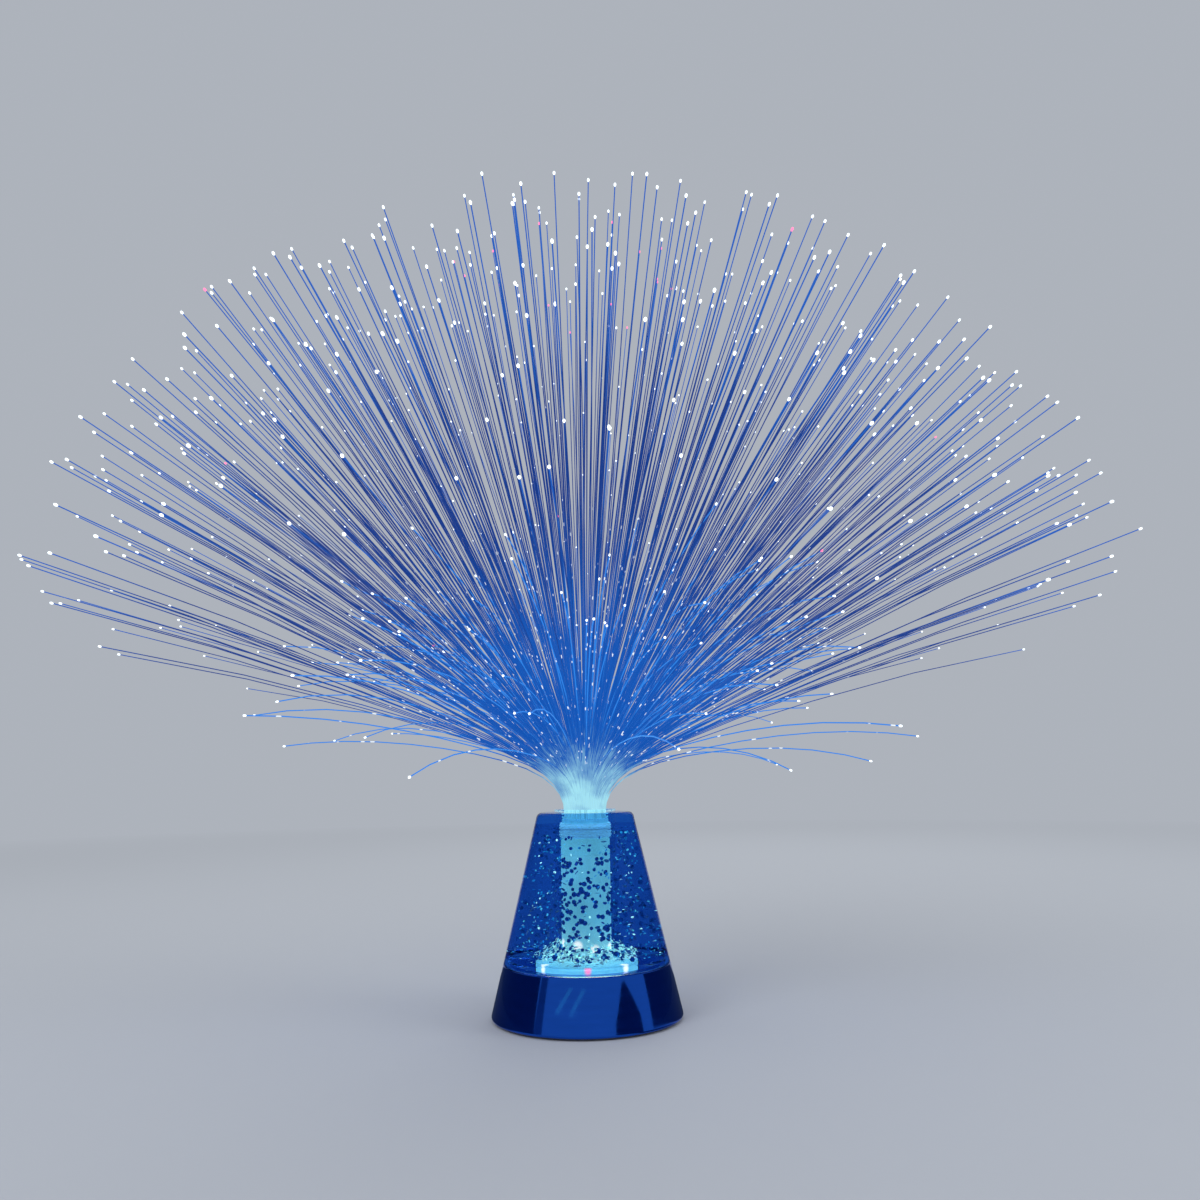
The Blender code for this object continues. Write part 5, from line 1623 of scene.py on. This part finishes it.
class LAMP_OT_stage(LampOperator):
    """Set the pale floor, the soft lights and the camera"""

    bl_idname = "lamp.stage"
    bl_label = "Stage"

    def build(self, scene):
        self.floor(scene.lamp_stage)
        self.cards()
        self.world(scene)
        self.lights(scene.lamp_stage)
        self.camera(scene)
        scene.view_settings.view_transform = "Standard"

    def floor(self, stage):
        """A wide disc. It fades into the background far out, shows from above only and lets
        the light below it reach the lamp's underside."""
        bm = bmesh.new()
        bmesh.ops.create_circle(bm, cap_ends=True, segments=FINE_TURN, radius=FLOOR_RADIUS)
        obj = linked_shape("studio_floor", bm)
        look = Finish("studio_floor", stage.floor, 0.7, {"Specular IOR Level": 0.0})
        obj.data.materials.append(look.material)
        tree = look.tree
        plain = look.node("Emission", {"Color": (*stage.floor, 1.0), "Strength": 1.0})
        fade = look.span(look.distance((0.0, 0.0, 0.0)), FADE_START * PER_MILLIMETRE,
                         FADE_END * PER_MILLIMETRE)
        far = look.node("MixShader", {0: fade, 1: look.shader.outputs[0], 2: plain.outputs[0]})
        clear = look.node("BsdfTransparent")
        below = look.math("MAXIMUM", look.node("NewGeometry").outputs["Backfacing"],
                          look.node("LightPath").outputs["Is Shadow Ray"])
        both = look.node("MixShader", {0: below, 1: far.outputs[0], 2: clear.outputs[0]})
        tree.links.new(both.outputs[0], tree.nodes["Material Output"].inputs["Surface"])

    def cards(self):
        """Cards that only the chrome shows, as its dark bands and pale streaks. A dark one
        stands on a foot that runs in over the floor."""
        for name, title, start, end, steps in CARDS:
            profile = [(CARD_DISTANCE, *step) for step in steps]
            if steps is not STREAK_PROFILE:
                profile.insert(0, (CARD_FOOT, FIT_GAP, 1.0, 0.0))
            self.card(name, title, start, end, profile)

    def card(self, name, title, start, end, profile):
        """A card over an arc in degrees to the right of the camera. Its profile goes in
        (distance, height, share of its width left there, degrees that it leans)."""
        bm = bmesh.new()
        middle = math.radians((start + end) / 2 - 90.0)
        half = math.radians(end - start) / 2
        side = [bm.verts.new((distance, 0.0, height)) for distance, height, _, _ in profile]
        edges = [bm.edges.new(pair) for pair in zip(side, side[1:])]
        bmesh.ops.spin(bm, geom=side + edges, cent=(0, 0, 0), axis=(0, 0, 1),
                       angle=2 * half, steps=24, use_duplicate=False)
        for vert in bm.verts:
            turned = math.atan2(vert.co.y, vert.co.x) - half
            distance = vert.co.xy.length
            share, lean = next((s, d) for r, h, s, d in profile
                               if math.hypot(h - vert.co.z, r - distance) < FIT_GAP)
            angle = middle + turned * share + math.radians(lean)
            vert.co.xy = (distance * math.cos(angle), distance * math.sin(angle))
        card = linked_shape(name, bm)
        card.data.materials.append(finish(title))
        card.visible_camera = False
        card.visible_diffuse = False
        card.visible_transmission = False
        card.visible_shadow = False

    def world(self, scene):
        """A plain sky that lights evenly and shows as the floor's colour."""
        stage = scene.lamp_stage
        world = bpy.data.worlds.new("studio")
        scene.world = world
        world.use_nodes = True
        nodes, links = world.node_tree.nodes, world.node_tree.links
        light = nodes["Background"]
        light.inputs["Color"].default_value = (1.0, 1.0, 1.0, 1.0)
        light.inputs["Strength"].default_value = stage.fill_light
        shown = nodes.new("ShaderNodeBackground")
        shown.inputs["Color"].default_value = (*stage.floor, 1.0)
        path = nodes.new("ShaderNodeLightPath")
        seen = path.outputs["Is Camera Ray"]
        for ray in ("Is Glossy Ray", "Is Transmission Ray"):
            either = nodes.new("ShaderNodeMath")
            either.operation = "MAXIMUM"
            links.new(seen, either.inputs[0])
            links.new(path.outputs[ray], either.inputs[1])
            seen = either.outputs[0]
        mix = nodes.new("ShaderNodeMixShader")
        links.new(seen, mix.inputs[0])
        links.new(light.outputs[0], mix.inputs[1])
        links.new(shown.outputs[0], mix.inputs[2])
        links.new(mix.outputs[0], nodes["World Output"].inputs["Surface"])

    def lights(self, stage):
        aim = Vector((0.0, 0.0, 0.15))
        for name, place, width, energy in (
                ("key_light", (-1.0, -1.2, 1.3), 0.9, stage.key_power),
                ("side_light", (1.4, -0.5, 0.9), 0.8, stage.side_power),
                ("back_light", (0.3, 1.3, 1.2), 0.9, stage.side_power),
                ("under_light", (0.05, -0.1, -0.9), 0.8, stage.under_power)):
            data = bpy.data.lights.new(name, type="AREA")
            data.size = width
            data.energy = energy
            lamp = linked(name, data)
            lamp.location = place
            lamp.visible_glossy = False
            lamp.rotation_euler = (aim - Vector(place)).to_track_quat("-Z", "Y").to_euler()

    def camera(self, scene):
        stage = scene.lamp_stage
        data = bpy.data.cameras.new("photo_camera")
        data.lens = stage.camera_lens
        data.clip_start = 0.01
        camera = linked("photo_camera", data)
        place = Matrix.Translation((stage.camera_x, -stage.camera_distance, stage.camera_height))
        aim = Matrix.Rotation(math.pi / 2 + stage.camera_pitch, 4, "X")
        roll = Matrix.Rotation(-stage.camera_roll, 4, "Z")
        camera.matrix_world = place @ aim @ roll
        scene.camera = camera


# Add-on


class LAMP_PT_sidebar(bpy.types.Panel):
    """The lamp's pieces and settings"""

    bl_label = "Fibre Optic Lamp"
    bl_idname = "LAMP_PT_sidebar"
    bl_space_type = "VIEW_3D"
    bl_region_type = "UI"
    bl_category = "Lamp"

    def draw(self, context):
        for title, operators in BUILD_ORDER:
            box = self.layout.box()
            box.label(text=title)
            for operator in operators:
                box.operator(operator.bl_idname)
        for name, group in SETTINGS.items():
            box = self.layout.box()
            box.label(text=group.__name__)
            for key in group.__annotations__:
                box.prop(getattr(context.scene, name), key)


SETTINGS = {
    "lamp_base": LampBaseSettings,
    "lamp_cone": LampConeSettings,
    "lamp_spray": LampSpraySettings,
    "lamp_glow": LampGlowSettings,
    "lamp_stage": LampStageSettings,
}

BUILD_ORDER = [
    ("Stage", [LAMP_OT_stage]),
    ("Base", [LAMP_OT_base_shell, LAMP_OT_underside, LAMP_OT_feet, LAMP_OT_screws,
              LAMP_OT_switch, LAMP_OT_cells, LAMP_OT_contacts]),
    ("Light", [LAMP_OT_light_engine, LAMP_OT_column]),
    ("Cone", [LAMP_OT_cone, LAMP_OT_glitter]),
    ("Spray", [LAMP_OT_bundle_holders, LAMP_OT_bundle, LAMP_OT_spray]),
]


def register():
    for group in SETTINGS.values():
        bpy.utils.register_class(group)
    for _, operators in BUILD_ORDER:
        for operator in operators:
            bpy.utils.register_class(operator)
    bpy.utils.register_class(LAMP_PT_sidebar)
    for name, group in SETTINGS.items():
        setattr(bpy.types.Scene, name, PointerProperty(type=group))


def unregister():
    for name in SETTINGS:
        delattr(bpy.types.Scene, name)
    bpy.utils.unregister_class(LAMP_PT_sidebar)
    for _, operators in reversed(BUILD_ORDER):
        for operator in reversed(operators):
            bpy.utils.unregister_class(operator)
    for group in reversed(SETTINGS.values()):
        bpy.utils.unregister_class(group)


def clear_startup():
    """Removes the startup scene's own objects and keeps the frame's."""
    kept = set(frame["nodes"].values()) | set(frame["bodies"].values())
    for obj in list(bpy.data.objects):
        if obj not in kept:
            bpy.data.objects.remove(obj, do_unlink=True)


def main():
    clear_startup()
    register()
    for _, operators in BUILD_ORDER:
        for operator in operators:
            family, action = operator.bl_idname.split(".")
            getattr(getattr(bpy.ops, family), action)()


if __name__ == "__main__":
    main()
